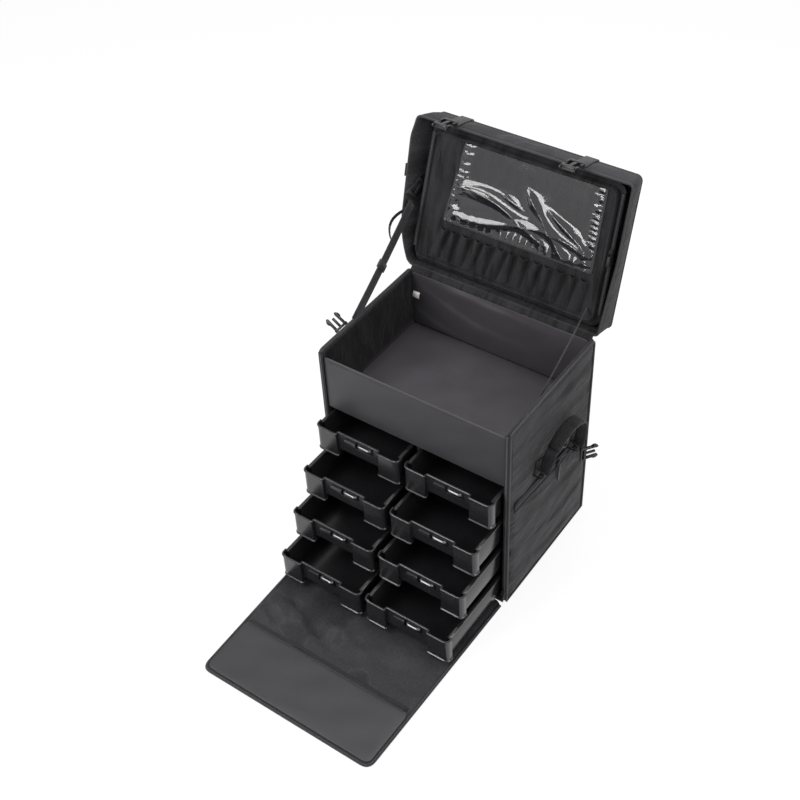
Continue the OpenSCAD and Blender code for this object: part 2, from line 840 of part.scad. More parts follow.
// The lid from its leaning mouth up to its panel, as one block
module lid_tub(grow, over) {
    hull() {
        translate([0, 0, lid_wall_z - over]) linear_extrude(touch) lid_mouth(grow);
        translate([0, 0, lid_depth - lid_t - touch + over]) linear_extrude(touch) lid_outline(grow);
    }
}

module lid_walls() {
    color(fabric) in_lid() difference() {
        lid_tub(0, 0);
        lid_tub(-lid_t, 1);
    }
}

// Plan of the inner panel, wider on the left at its hinge end
module inner_plan(grow) {
    r = inner_corner_r;
    x = inner_w_lid / 2 - r;
    back = inner_back + r;
    front = inner_front - r;
    hull() for (p = [[-x - inner_spread, back], [x, back], [-x, front], [x, front]])
        translate([p.x, -p.y]) circle(r + grow);
}

// Lined sheet under the inner panel, on a skirt that stands on the lid's panel
module lid_lining() {
    skirt_z = lining_at + lining_t;
    color(smooth_fabric) in_lid() {
        intersection() {
            translate([0, 0, lining_at]) linear_extrude(lining_t) inner_plan(lining_margin);
            lid_tub(-lid_t - touch, 1);
        }
        translate([0, 0, skirt_z]) linear_extrude(lid_depth - lid_t - skirt_z) difference() {
            inner_plan(-skirt_inset);
            inner_plan(-skirt_inset - lining_t);
        }
    }
}

module lid_inner_panel() {
    color(fabric) in_lid() translate([0, 0, inner_z]) linear_extrude(inner_t) inner_plan(0);
}

module lid_pocket_film() {
    middle = film_inset + film_len / 2 - inner_front;
    color("#6a6a70") in_lid() translate([film_shift, middle, inner_z - film_t])
        linear_extrude(film_t) round_rect([film_w, film_len], 2);
}

// Pleated band of slots for brushes
module brush_band() {
    pitch = brush_w / brush_slots;
    ridge = brush_t * 2;
    color(fabric) in_lid() translate([-brush_w / 2 - brush_shift, -inner_back - brush_gap, inner_z]) {
        block([0, -brush_len, -1], [brush_w, 0, 0]);
        for (i = [0:brush_slots - 1]) translate([(i + 0.5) * pitch, -brush_len, -1]) intersection() {
            translate([0, brush_len, 0]) rotate([90, 0, 0]) cylinder(d = ridge, h = brush_len);
            block([-ridge, 0, -ridge], [ridge, brush_len, 0]);
        }
    }
}

// Webbing that comes over the lid's panel and down its walls to the buckles
module lid_straps() {
    color(webbing) in_lid() {
        for (x = front_buckle_x) translate([x - webbing_w / 2, 0, 0]) {
            block([0, -lid_len - webbing_t, -lid_strap_below], [webbing_w, -lid_len, lid_depth + webbing_t]);
            block([0, -lid_len, lid_depth], [webbing_w, -lid_len + lid_strap_run, lid_depth + webbing_t]);
        }
        translate([-lid_w / 2, -side_strap_r - webbing_w / 2, 0]) {
            hull() {
                translate([-webbing_t, 0, lid_depth]) cube([webbing_t, webbing_w, webbing_t]);
                translate([-lid_flare_left - webbing_t - touch, 0, lid_wall_z]) cube([webbing_t, webbing_w, touch]);
            }
            block([0, 0, lid_depth], [lid_strap_run, webbing_w, lid_depth + webbing_t]);
        }
    }
}

// Socket half of a side-release buckle, lying flat with its mouth towards -Y
module socket_buckle() {
    linear_extrude(buckle_t) difference() {
        translate([0, socket_len / 2]) round_rect([buckle_w, socket_len], socket_round);
        mirrored() translate(socket_window_at) circle(socket_window_r);
    }
    translate([-socket_bar.x / 2, socket_len - socket_bar_in, buckle_t]) cube(socket_bar);
}

module lid_buckles() {
    color(plastic) in_lid() {
        for (x = front_buckle_x) translate([x, -lid_len - webbing_t, -socket_below])
            rotate([90, 0, 0]) socket_buckle();
        translate([-lid_w / 2 - lid_flare_left + lid_t, -side_socket_r, lid_wall_z - 1])
            rotate([0, 90 + left_wall_lean, 0]) translate([-side_socket_in, 0, touch])
            rotate(-side_socket_turn) translate([0, -socket_len / 2, 0]) socket_buckle();
    }
}

module lid_zip_slider() {
    body = lid_slider_body;
    pull = lid_slider_pull;
    color(metal) in_lid() translate([(inner_w_lid + lining_margin) / 2, -lid_slider_r, lining_at - touch]) {
        translate([-body.x / 2, -body.y / 2, -body.z]) cube(body);
        translate([-pull.x / 2, -body.y / 2, -body.z - pull.z]) cube(pull);
    }
}

// Flap, lying on the floor

module flap_panel() {
    color(fabric) linear_extrude(flap_t) tongue(flap_w, flap_end_y, flap_start_y, flap_corner_r);
}

module flap_pocket() {
    start = flap_end_y + flap_pocket_margin;
    color(smooth_fabric) translate([0, 0, flap_t]) linear_extrude(flap_pocket_t)
        tongue(flap_w - 2 * binding_w - 2, start, start + flap_pocket_len, flap_corner_r - flap_pocket_margin);
}

module flap_binding() {
    color(webbing) mirrored()
        block([flap_w / 2 - binding_w, flap_end_y + flap_corner_r + 2, flap_t],
            [flap_w / 2, flap_start_y - binding_gap, flap_t + binding_t]);
}

// Drawers: x across, y from the front face to the back, z up from the underside

// Plan of the drawer front: two wings with round corners and a set-back middle
module front_plan(grow, back) {
    w = front_w / 2 + grow;
    r = front_corner_r + grow;
    step = recess_w / 2 - grow;
    translate([-w, recess_depth - grow]) square([2 * w, back - recess_depth + grow]);
    mirrored() {
        translate([step, -grow]) square([w - r - step, back + grow]);
        translate([step, r - grow]) square([w - step, back - r + grow]);
        translate([w - r, r - grow]) circle(r);
    }
}

module drawer_walls_plan() {
    t = drawer_wall;
    difference() {
        front_plan(0, front_depth);
        front_plan(-t, front_depth - t);
        translate([-box_w / 2 + t, front_depth - 2 * t]) square([box_w - 2 * t, 3 * t]);
    }
    mirrored() translate([box_w / 2 - t, front_depth - t]) square([t, drawer_len - front_depth + t]);
    translate([-box_w / 2, drawer_len - t]) square([box_w, t]);
}

module drawer_pull() {
    bar = (pull_w - pull_slot_w) / 2;
    top = drawer_h - bead_h - 3;
    for (s = [-1, 1]) translate([s * (pull_slot_w + bar) / 2, recess_depth, top - pull_h / 2])
        rotate([90, 0, 0]) linear_extrude(s < 0 ? pull_out : pull_out - 1)
            round_rect([bar, s < 0 ? pull_h : pull_h - 4], 2.5);
    translate([-pull_w / 2, recess_depth - 1.2, top - pull_h]) cube([pull_w, 1.2, 1.6]);
}

module drawer_shape() {
    t = drawer_wall;
    difference() {
        union() {
            linear_extrude(drawer_h) drawer_walls_plan();
            linear_extrude(t) {
                front_plan(0, front_depth);
                translate([-box_w / 2, front_depth - t]) square([box_w, drawer_len - front_depth + t]);
            }
            translate([0, 0, drawer_h - bead_h]) linear_extrude(bead_h) difference() {
                front_plan(bead_out, front_depth);
                front_plan(-t, front_depth + 1);
            }
            linear_extrude(2.5) intersection() {
                front_plan(bead_out, front_depth);
                mirrored() translate([recess_w / 2, -bead_out]) square([front_w, front_corner_r]);
            }
        }
        block([-recess_w / 2, -2 * bead_out, -1], [recess_w / 2, ledge_y, recess_cut_h]);
    }
    side = recess_w / 2 + t;
    top = recess_cut_h + t;
    block([-side, recess_depth, recess_cut_h], [side, ledge_y + t, top]);
    block([-side, ledge_y, 0], [side, ledge_y + t, top]);
    mirrored() {
        block([recess_w / 2, recess_depth, 0], [side, ledge_y + t, top]);
        block([box_w / 2 - t, ledge_y + t, drawer_h - flange_t], [box_w / 2 + flange_w, drawer_len, drawer_h]);
    }
    drawer_pull();
}

module drawer(column, row) {
    color(glossy) translate([column * bay_x, -half_d - outs[row - 1], row_z(row)]) drawer_shape();
}

// Sliders of the two front zips, at the bottom of their travel

module zip_slider(s) {
    color(metal) translate([s * (half_w - wall_t / 2), teeth_front_y - slider_gap, slider_z]) {
        translate([-slider_body.x / 2, -slider_body.y, -slider_body.z / 2]) cube(slider_body);
        block([-pull_tab_w / 2, -slider_body.y - pull_tab_t, -pull_drop],
            [pull_tab_w / 2, -slider_body.y, slider_body.z / 4]);
    }
}

base_board();
left_wall();
right_wall();
back_wall();
tray_floor();
tray_front();
cabinet_divider();
drawer_runners();
wall_piping();
front_zip_tape();
base_pan();
side_pocket();
pocket_zip();
handle_tabs();
ring_tab();
side_straps();
male_buckles();
lid_hinge_cord();
flap_hinge_cord();
stay_straps();
wheel_housings();
wheel_axles();
trolley_base();
trolley_tubes();
trolley_collar();
lid_panel();
lid_walls();
lid_lining();
lid_inner_panel();
lid_pocket_film();
brush_band();
lid_straps();
lid_buckles();
lid_zip_slider();
flap_panel();
flap_pocket();
flap_binding();
for (row = [1:rows]) {
    drawer(-1, row);
    drawer(1, row);
}
zip_slider(-1);  // zip_slider_left
zip_slider(1);  // zip_slider_right
pocket_zip_slider();
carry_handle();
handle_ring();
wheel_hub(-1);  // wheel_hub_front
wheel_hub(1);  // wheel_hub_rear
tyre(-1);  // tyre_front
tyre(1);  // tyre_rear
stage_tubes();
handle_rods();
trolley_grip();
grip_button();
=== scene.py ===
"""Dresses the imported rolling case: soft fabric shell, drawers, straps, zips and studio."""

import json
import math

import bmesh
import bpy
from mathutils import Matrix, Vector


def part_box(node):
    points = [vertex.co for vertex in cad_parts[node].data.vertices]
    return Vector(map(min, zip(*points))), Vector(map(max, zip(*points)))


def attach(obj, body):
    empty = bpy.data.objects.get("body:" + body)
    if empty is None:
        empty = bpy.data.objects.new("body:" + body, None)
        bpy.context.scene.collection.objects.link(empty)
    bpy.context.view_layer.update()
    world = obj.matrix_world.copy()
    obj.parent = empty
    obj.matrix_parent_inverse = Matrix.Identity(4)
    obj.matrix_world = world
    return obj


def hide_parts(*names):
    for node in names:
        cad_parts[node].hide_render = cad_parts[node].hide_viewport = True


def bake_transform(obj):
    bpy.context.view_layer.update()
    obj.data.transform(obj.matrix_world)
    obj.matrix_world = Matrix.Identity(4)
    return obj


bl_info = {
    "name": "Rolling case dresser",
    "version": (1, 0, 0),
    "blender": (4, 5, 0),
    "location": "View3D > Sidebar > Rolling case",
    "description": "Builds the fabric, drawers, straps and zips of an open rolling case around its frame",
    "category": "Object",
}

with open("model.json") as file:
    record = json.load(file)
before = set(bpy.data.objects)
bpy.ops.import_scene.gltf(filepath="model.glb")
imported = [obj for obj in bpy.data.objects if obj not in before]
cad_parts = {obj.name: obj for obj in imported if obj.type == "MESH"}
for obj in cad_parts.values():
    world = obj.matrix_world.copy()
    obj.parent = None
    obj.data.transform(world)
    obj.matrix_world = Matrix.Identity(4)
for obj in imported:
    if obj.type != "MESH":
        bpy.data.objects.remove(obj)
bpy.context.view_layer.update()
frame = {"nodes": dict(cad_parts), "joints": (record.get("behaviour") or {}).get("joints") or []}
JOINTS = {joint["name"]: joint for joint in frame["joints"]}
MM = 0.001
CLOTH = "cloth"
WELD = 0.002 * MM
RIGHT, LEFT, BACK, FRONT, UP = (1, 0, 0), (-1, 0, 0), (0, 1, 0), (0, -1, 0), (0, 0, 1)


def node_box(name):
    """Low and high corner of a CAD node, in millimetres."""
    low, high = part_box(name)
    return low / MM, high / MM


def node_middle(name):
    """Centre and half size of a CAD node, in millimetres."""
    low, high = node_box(name)
    return (low + high) / 2, (high - low) / 2


RIGHT_LOW, RIGHT_HIGH = node_box("right_wall")
CASE_X = RIGHT_HIGH.x
WALL = RIGHT_HIGH.x - RIGHT_LOW.x
FRONT_Y = RIGHT_LOW.y
BACK_Y = RIGHT_HIGH.y
BASE_Z = RIGHT_LOW.z
TOP_Z = RIGHT_HIGH.z
INNER_X = CASE_X - WALL
TRAY_Z = node_box("tray_floor")[1].z
HINGE = Vector(JOINTS["lid_hinge"]["pos_m"]) / MM
LID_OPEN = -math.radians(JOINTS["lid_hinge"]["range_deg"][0])
LID_X = node_box("lid_panel")[1].x
FLARE_LEFT = -node_box("lid_walls")[0].x - LID_X
FLARE_RIGHT = node_box("lid_walls")[1].x - LID_X
LID_TURN = Matrix.Translation(HINGE) @ Matrix.Rotation(-LID_OPEN, 4, "X")


def lid_place(x=0.0, r=0.0, depth=0.0):
    """A place on the lid: x across, r from the hinge, depth up from the mouth; local +y runs to the hinge."""
    return LID_TURN @ Matrix.Translation((x, -r, depth))


def lid_point(x, r, depth):
    return lid_place(x, r, depth) @ Vector()


def facing(origin, x_axis, y_axis):
    """A place whose local x and y run along two axes, with z out of the face between them."""
    x_axis = Vector(x_axis).normalized()
    y_axis = Vector(y_axis).normalized()
    turn = Matrix((x_axis, y_axis, x_axis.cross(y_axis))).transposed().to_4x4()
    return Matrix.Translation(Vector(origin)) @ turn


def smooth_step(value):
    value = min(max(value, 0.0), 1.0)
    return value * value * (3 - 2 * value)


def span(count):
    """Even places from -1 to 1."""
    return [-1 + 2 * i / count for i in range(count + 1)]


def ripple(x, y, seed):
    """Slow uneven waves, between about -1 and 1, for creased cloth."""
    return (0.45 * math.sin(0.031 * x + 0.047 * y + seed)
            + 0.30 * math.sin(0.083 * x - 0.052 * y + 2.1 * seed)
            + 0.25 * math.sin(-0.061 * x + 0.137 * y + 3.7 * seed))


CREASE_HIGH = 4.4
CREASE_CREST = 0.82


def sag(x, y, seed):
    """Height of long creases that fall slowly along a hanging wall, sharper on their upper side."""
    wave = y * 0.105 + x * 0.022 + 0.9 * math.sin(x * 0.021 + seed)
    part = wave / (2 * math.pi) - math.floor(wave / (2 * math.pi))
    fall = smooth_step((part - CREASE_CREST) / (1 - CREASE_CREST))
    crest = smooth_step(part / CREASE_CREST) * (1 - fall)
    return CREASE_HIGH * crest * (0.5 + 0.5 * math.sin(x * 0.017 - y * 0.013 + seed))


class Value:
    """A shader socket that takes part in Python expressions."""

    def __init__(self, finish, socket):
        self.finish = finish
        self.socket = socket

    def math(self, operation, first, second=None):
        inputs = {0: first} if second is None else {0: first, 1: second}
        return self.finish.node("ShaderNodeMath", {"operation": operation}, inputs)

    def __add__(self, other):
        return self.math("ADD", self, other)

    def __radd__(self, other):
        return self.math("ADD", other, self)

    def __sub__(self, other):
        return self.math("SUBTRACT", self, other)

    def __rsub__(self, other):
        return self.math("SUBTRACT", other, self)

    def __mul__(self, other):
        return self.math("MULTIPLY", self, other)

    def __rmul__(self, other):
        return self.math("MULTIPLY", other, self)

    def __pow__(self, other):
        return self.math("POWER", self, other)

    def __abs__(self):
        return self.math("ABSOLUTE", self)

    def sine(self):
        return self.math("SINE", self)


class Finish:
    """One material, or the world, built from nodes."""

    def __init__(self, name, world=None):
        self.material = world or bpy.data.materials.new(name)
        self.material.use_nodes = True
        self.tree = self.material.node_tree
        self.tree.nodes.clear()

    def node(self, kind, settings=None, inputs=None, output=0):
        """A node of any type: its settings first, then the values or links of its sockets."""
        made = self.tree.nodes.new(kind)
        for name, value in (settings or {}).items():
            setattr(made, name, value)
        for key, value in (inputs or {}).items():
            socket = made.inputs[key]
            if isinstance(value, Value):
                self.tree.links.new(value.socket, socket)
            else:
                socket.default_value = value
        return Value(self, made.outputs[output]) if made.outputs else None

    def cloth(self):
        """The fabric's own coordinates, in millimetres: along and across."""
        flat = self.node("ShaderNodeUVMap", {"uv_map": CLOTH})
        split = self.node("ShaderNodeSeparateXYZ", inputs={0: flat})
        return split, Value(self, split.socket.node.outputs[1])

    def noise(self, scale, detail=3.0, roughness=0.55, along=(1.0, 1.0, 1.0)):
        """Noise over the object's own space, with scale in patches per metre and along as shares of it."""
        place = self.node("ShaderNodeTexCoord", output="Object")
        place = self.node("ShaderNodeVectorMath", {"operation": "MULTIPLY"}, {0: place, 1: along})
        return self.node("ShaderNodeTexNoise", {"noise_dimensions": "3D"},
                         {"Vector": place, "Scale": scale, "Detail": detail, "Roughness": roughness})

    def weave(self, pitch):
        """Height of a plain weave whose threads lie pitch millimetres apart."""
        u, v = self.cloth()
        step = 2 * math.pi / pitch
        return 0.5 + 0.25 * ((u * step).sine() * (v * step).sine() + ((u + v) * (step / 2)).sine())

    def blend(self, amount, first, second):
        return self.node("ShaderNodeMix", {"data_type": "RGBA"},
                         {"Factor": amount, 6: (*first, 1.0), 7: (*second, 1.0)}, output=2)

    def bump(self, height, depth, strength):
        """Relief whose height is in shares of depth, which is in millimetres."""
        return self.node("ShaderNodeBump", inputs={
            "Strength": strength, "Distance": depth * MM, "Height": height})

    def surface(self, base, roughness, height, depth, strength, sockets=None):
        """The principled surface, with its relief and any other sockets."""
        relief = self.bump(height, depth, strength)
        return self.show(self.node("ShaderNodeBsdfPrincipled", inputs={
            "Base Color": base, "Roughness": roughness, "Normal": relief, **(sockets or {})}))

    def show(self, shader):
        """Ends the material with that shader."""
        self.node("ShaderNodeOutputMaterial", inputs={"Surface": shader})
        return self.material


def tone(colour, factor):
    return tuple(channel * factor for channel in colour)


class CaseColours(bpy.types.PropertyGroup):
    """Colours of the case's materials."""

    shell: bpy.props.FloatVectorProperty(name="Shell", description="Woven outer fabric", subtype="COLOR",
                                         default=(0.0152, 0.0148, 0.0166), min=0, max=1)
    lining: bpy.props.FloatVectorProperty(name="Lining", description="Textured fabric inside the lid",
                                          subtype="COLOR", default=(0.0070, 0.0069, 0.0078), min=0, max=1)
    satin: bpy.props.FloatVectorProperty(name="Satin", description="Smooth panels of tray and flap",
                                         subtype="COLOR", default=(0.033, 0.0300, 0.035), min=0, max=1)
    webbing: bpy.props.FloatVectorProperty(name="Webbing", description="Straps, bindings and handle",
                                           subtype="COLOR", default=(0.013, 0.013, 0.0145), min=0, max=1)
    plastic: bpy.props.FloatVectorProperty(name="Plastic", description="Buckles and mouldings",
                                           subtype="COLOR", default=(0.016, 0.016, 0.018), min=0, max=1)
    drawer: bpy.props.FloatVectorProperty(name="Drawers", description="Glossy drawer plastic",
                                          subtype="COLOR", default=(0.0085, 0.0080, 0.0090), min=0, max=1)
    metal: bpy.props.FloatVectorProperty(name="Sliders", description="Dark plated zip sliders",
                                         subtype="COLOR", default=(0.011, 0.011, 0.012), min=0, max=1)
    floor: bpy.props.FloatVectorProperty(name="Floor", description="Studio floor", subtype="COLOR",
                                         default=(0.93, 0.93, 0.93), min=0, max=1)


class CaseSizes(bpy.types.PropertyGroup):
    """Sizes of the soft details, which the frame doesn't set."""

    cord: bpy.props.FloatProperty(name="Piping", description="Thickness of the sewn-in piping cords",
                                  default=4.2 * MM, min=2 * MM, max=8 * MM, unit="LENGTH")
    bow: bpy.props.FloatProperty(name="Wall bow", description="How far the soft walls swell outwards",
                                 default=3.0 * MM, min=0, max=8 * MM, unit="LENGTH")
    crinkle: bpy.props.FloatProperty(name="Film crinkle", description="Height of the clear pocket's folds",
                                     default=5.0 * MM, min=0, max=9 * MM, unit="LENGTH")
    stitch: bpy.props.FloatProperty(name="Stitch", description="Length of one sewn stitch",
                                    default=3.2 * MM, min=1 * MM, max=6 * MM, unit="LENGTH")
    tooth: bpy.props.FloatProperty(name="Zip pitch", description="Distance from one zip tooth to the next",
                                   default=2.6 * MM, min=1.5 * MM, max=5 * MM, unit="LENGTH")


def colours():
    return bpy.context.scene.case_colours


def sizes():
    return bpy.context.scene.case_sizes


# Finishes

FINISHES = {}


def finish(name):
    """The material of that name, made the first time it is asked for."""
    if name not in FINISHES:
        FINISHES[name] = FINISH_MAKERS[name](name)
    return FINISHES[name]


def shades(colour, dark, pale):
    return tone(colour, dark), tone(colour, pale)


def woven(name, colour, pitch, rough, crease, along, painted_crease_shade=1.3):
    """Creased woven cloth whose colour holds painted shade and painted highlight: the hollows between its
    creases are painted darker by painted_crease_shade, and thin lines along them are painted lighter.
    """
    made = Finish(name)
    weave = made.weave(pitch)
    patches = made.noise(38.0)
    grain = made.noise(290.0, 2.0, 0.6)
    creases = made.noise(crease, 2.0, 0.45, along)
    ridge_relief_and_highlight = (1 - abs(creases * 2 - 1)) ** 22
    # Painted shade and highlight: the crease noise darkens the colour and the thin ridge lines lighten it, on
    # top of the weave, grain and patches that are the cloth's own tone.
    shade = weave * 0.3 + grain * 0.9 + patches * 0.2 + creases * painted_crease_shade + ridge_relief_and_highlight * 0.3 - 0.25 - painted_crease_shade / 2
    height = weave * 0.4 + grain * 0.9 + creases * 5.0 + ridge_relief_and_highlight * 1.8
    base = made.blend(shade, *shades(colour, 0.3, 2.1))
    return made.surface(base, rough - 0.16 * patches, height, 0.5, 0.9,
                        {"Sheen Weight": 0.05, "Sheen Roughness": 0.45, "Specular IOR Level": 0.18})


def satin(name, share):
    """Smooth cloth in a share of the satin's colour; a share below one makes a darker copy of the same satin,
    which is painted shade set for how light falls on that surface.
    """
    made = Finish(name)
    weave = made.weave(0.5)
    clouds = made.noise(14.0, 4.0, 0.6)
    base = made.blend(clouds, *shades(tone(colours().satin, share), 0.75, 1.35))
    return made.surface(base, 0.40 + 0.16 * clouds, weave * 0.2 + clouds * 2.0, 0.3, 0.7,
                        {"Sheen Weight": 0.05, "Specular IOR Level": 0.4})


def worn(name, pair, wear, rough, depth, strength, sockets=None, grain=None):
    """A hard surface between a pair of colours as it is rubbed; grain is a relief of its own."""
    made = Finish(name)
    rub = made.noise(*wear)
    relief = made.noise(*grain) if grain else rub
    return made.surface(made.blend(rub, *pair), rough[0] + rough[1] * rub, relief, depth, strength, sockets)


def ribbed_webbing(name):
    made = Finish(name)
    along, across = made.cloth()
    ribs = (across * (2 * math.pi / 2.0)).sine()
    picks = ((along + 0.6 * abs(ribs)) * (2 * math.pi / 1.3)).sine()
    wear = made.noise(60.0)
    height = 0.5 + 0.3 * ribs + 0.2 * picks
    base = made.blend(0.5 * height + 0.5 * wear, *shades(colours().webbing, 0.6, 1.7))
    return made.surface(base, 0.72 - 0.1 * wear, height, 0.35, 0.9,
                        {"Sheen Weight": 0.10, "Specular IOR Level": 0.4})


def zip_tape(name):
    made = Finish(name)
    along, across = made.cloth()
    twill = ((along + across) * (2 * math.pi / 1.0)).sine()
    base = made.blend(made.noise(70.0), *shades(colours().webbing, 0.35, 0.8))
    return made.surface(base, 0.74, 0.5 + 0.5 * twill, 0.2, 0.8, {"Specular IOR Level": 0.35})


def clear_film(name):
    made = Finish(name)
    haze = made.noise(55.0, 3.0)
    folds = made.noise(70.0, 1.5, 0.4)
    relief = made.bump(folds, 1.2, 0.12)
    gloss = made.node("ShaderNodeBsdfPrincipled", inputs={
        "Base Color": (0.012, 0.011, 0.014, 1.0), "Roughness": 0.08 + 0.06 * haze,
        "Specular IOR Level": 0.9, "Coat Weight": 0.6, "Coat Roughness": 0.05, "Normal": relief})
    through = made.node("ShaderNodeBsdfTransparent")
    edge = made.node("ShaderNodeLayerWeight", inputs={"Blend": 0.5}, output="Facing")
    return made.show(made.node("ShaderNodeMixShader", inputs={0: 0.55 + 0.25 * edge, 1: through, 2: gloss}))


def blank_tag(name):
    made = Finish(name)
    weave = made.weave(0.7)
    return made.surface(made.blend(weave, (0.62, 0.62, 0.60), (0.80, 0.80, 0.78)), 0.7, weave, 0.1, 0.6)


FINISH_MAKERS = {
    "shell_fabric": lambda name: woven(name, colours().shell, 1.1, 0.78, 42.0, (0.25, 0.18, 1.0)),
    "lining_fabric": lambda name: woven(name, colours().lining, 1.6, 0.84, 64.0, (1.0, 0.22, 0.22), 2.6),
    # A copy of the lining at 0.6 of its colour: the inner cloth of the side walls, and under the brush slots a
    # dark sheet that paints the shade in the slits.
    "inner_lining": lambda name: woven(name, tone(colours().lining, 0.6), 1.3, 0.85, 40.0, (0.4, 1.0, 0.4)),
    "sleeve_fabric": lambda name: woven(name, tone(colours().shell, 0.45), 1.6, 0.8, 60.0, (1.0, 1.0, 1.0)),
    # One satin and darker copies of it: the pocket, front and back shares are painted shade, set for how light
    # falls on those surfaces.
    "satin_fabric": lambda name: satin(name, 1.0),
    "pocket_satin": lambda name: satin(name, 0.33),
    "front_satin": lambda name: satin(name, 0.45),
    "back_satin": lambda name: satin(name, 0.9),
    "ribbed_webbing": ribbed_webbing,
    "zip_tape": zip_tape,
    "clear_film": clear_film,
    "blank_tag": blank_tag,
    "zip_teeth": lambda name: worn(
        name, shades(colours().plastic, 0.9, 2.6), (220.0, 2.0), (0.34, 0.2), 0.05, 0.6),
    "dark_metal": lambda name: worn(
        name, shades(colours().metal, 0.6, 2.2), (140.0, 4.0), (0.36, 0.2), 0.04, 0.5,
        {"Metallic": 0.5, "Specular IOR Level": 0.3}),
    "buckle_plastic": lambda name: worn(
        name, shades(colours().plastic, 0.3, 0.9), (90.0, 4.0), (0.24, 0.14), 0.05, 0.6,
        {"Specular IOR Level": 0.32}, grain=(1500.0, 2.0)),
    "moulded_plastic": lambda name: worn(
        name, shades(colours().plastic, 0.9, 1.6), (45.0, 4.0), (0.50, 0.14), 0.06, 0.7, grain=(2200.0, 2.0)),
    "drawer_gloss": lambda name: worn(
        name, shades(colours().drawer, 0.8, 1.5), (30.0, 5.0, 0.65), (0.18, 0.14), 0.25, 0.3,
        {"Specular IOR Level": 0.42, "Coat Weight": 0.2, "Coat Roughness": 0.16}, grain=(9.0, 1.0)),
    "polished_pull": lambda name: worn(
        name, shades(colours().drawer, 0.9, 1.8), (60.0, 3.0), (0.07, 0.06), 0.05, 0.3,
        {"Specular IOR Level": 0.8, "Coat Weight": 1.0, "Coat Roughness": 0.04}),
    "drawn_aluminium": lambda name: worn(
        name, ((0.50, 0.51, 0.53), (0.66, 0.67, 0.69)), (900.0, 2.0, 0.5, (1.0, 1.0, 0.02)), (0.26, 0.16),
        0.02, 0.5, {"Metallic": 1.0}),
    "turned_steel": lambda name: worn(
        name, ((0.42, 0.42, 0.43), (0.60, 0.60, 0.61)), (600.0, 2.0), (0.30, 0.15), 0.02, 0.5,
        {"Metallic": 1.0}),
    "tyre_rubber": lambda name: worn(
        name, ((0.010, 0.010, 0.011), (0.030, 0.030, 0.031)), (160.0, 4.0), (0.78, -0.15), 0.15, 0.7),
}


# Shapes, in millimetres

class Shape:
    """Points, faces and each face corner's fabric coordinates, gathered before a mesh is made."""

    def __init__(self):
        self.points = []
        self.faces = []
        self.corners = []

    def grid(self, rows, along, across, wrap_along=False, wrap_across=False, flip=False):
        """A net of quads over rows of points; along and across have one more entry where it wraps."""
        first = len(self.points)
        count, width = len(rows), len(rows[0])
        for row in rows:
            self.points.extend(row)
        for i in range(count if wrap_along else count - 1):
            for j in range(width if wrap_across else width - 1):
                ring = [(i, j), (i + 1, j), (i + 1, j + 1), (i, j + 1)]
                if flip:
                    ring.reverse()
                self.faces.append([first + (a % count) * width + b % width for a, b in ring])
                self.corners.append([(along[a], across[b]) for a, b in ring])

    def close_ends(self, first, width, count):
        """Flat ends on a run of that many rings, which starts at the point first."""
        last = first + (count - 1) * width
        for ring in (range(first, first + width), range(last + width - 1, last - 1, -1)):
            self.faces.append(list(ring))
            self.corners.append([(self.points[i].x, self.points[i].z) for i in ring])

    def take(self, bm, place):
        """Adds a bmesh, moved to its place."""
        first = len(self.points)
        bm.verts.index_update()
        flat = [(v.co.x, v.co.y) for v in bm.verts]
        self.points.extend(place @ v.co for v in bm.verts)
        for face in bm.faces:
            self.faces.append([first + v.index for v in face.verts])
            self.corners.append([flat[v.index] for v in face.verts])
        bm.free()

    def piece(self, name, material, body, slot, stands_for=(), sharp=None):
        """Makes the object, which rides on its body if it has one, and stands for the CAD nodes named."""
        mesh = bpy.data.meshes.new(name)
        mesh.from_pydata([Vector(p) * MM for p in self.points], [], self.faces)
        layer = mesh.uv_layers.new(name=CLOTH)
        flat = [value for ring in self.corners for corner in ring for value in corner]
        layer.data.foreach_set("uv", flat)
        mesh.polygons.foreach_set("use_smooth", [True] * len(mesh.polygons))
        bm = bmesh.new()
        bm.from_mesh(mesh)
        bmesh.ops.remove_doubles(bm, verts=bm.verts, dist=WELD)
        bmesh.ops.recalc_face_normals(bm, faces=bm.faces)
        bm.to_mesh(mesh)
        bm.free()
        if sharp is not None:
            mesh.set_sharp_from_angle(angle=math.radians(sharp))
        mesh.materials.append(finish(material))
        made = bpy.data.objects.new(name, mesh)
        bpy.context.scene.collection.objects.link(made)
        if body:
            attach(made, body)
        if stands_for:
            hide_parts(*stands_for)
        return made


def spread(half, edge, step):
    """Places across a panel, closer together where its edge rounds over."""
    inner = half - edge
    count = max(2, round(2 * inner / step))
    middle = [-inner + 2 * inner * i / count for i in range(count + 1)]
    rim = [half - edge * share for share in (0.0, 0.12, 0.4, 0.7)]
    return [-place for place in rim] + middle + rim[::-1]


def rounded_place(x, y, half, corner):
    """Pulls a point of a square corner in to a round one."""
    dx = abs(x) - (half[0] - corner)
    dy = abs(y) - (half[1] - corner)
    if dx <= 0 or dy <= 0:
        return x, y
    share = max(dx, dy) / math.hypot(dx, dy)
    return (math.copysign(half[0] - corner + dx * share, x),
            math.copysign(half[1] - corner + dy * share, y))


def no_swell(x, y):
    return 0.0


def as_drawn(x, y):
    return x, y


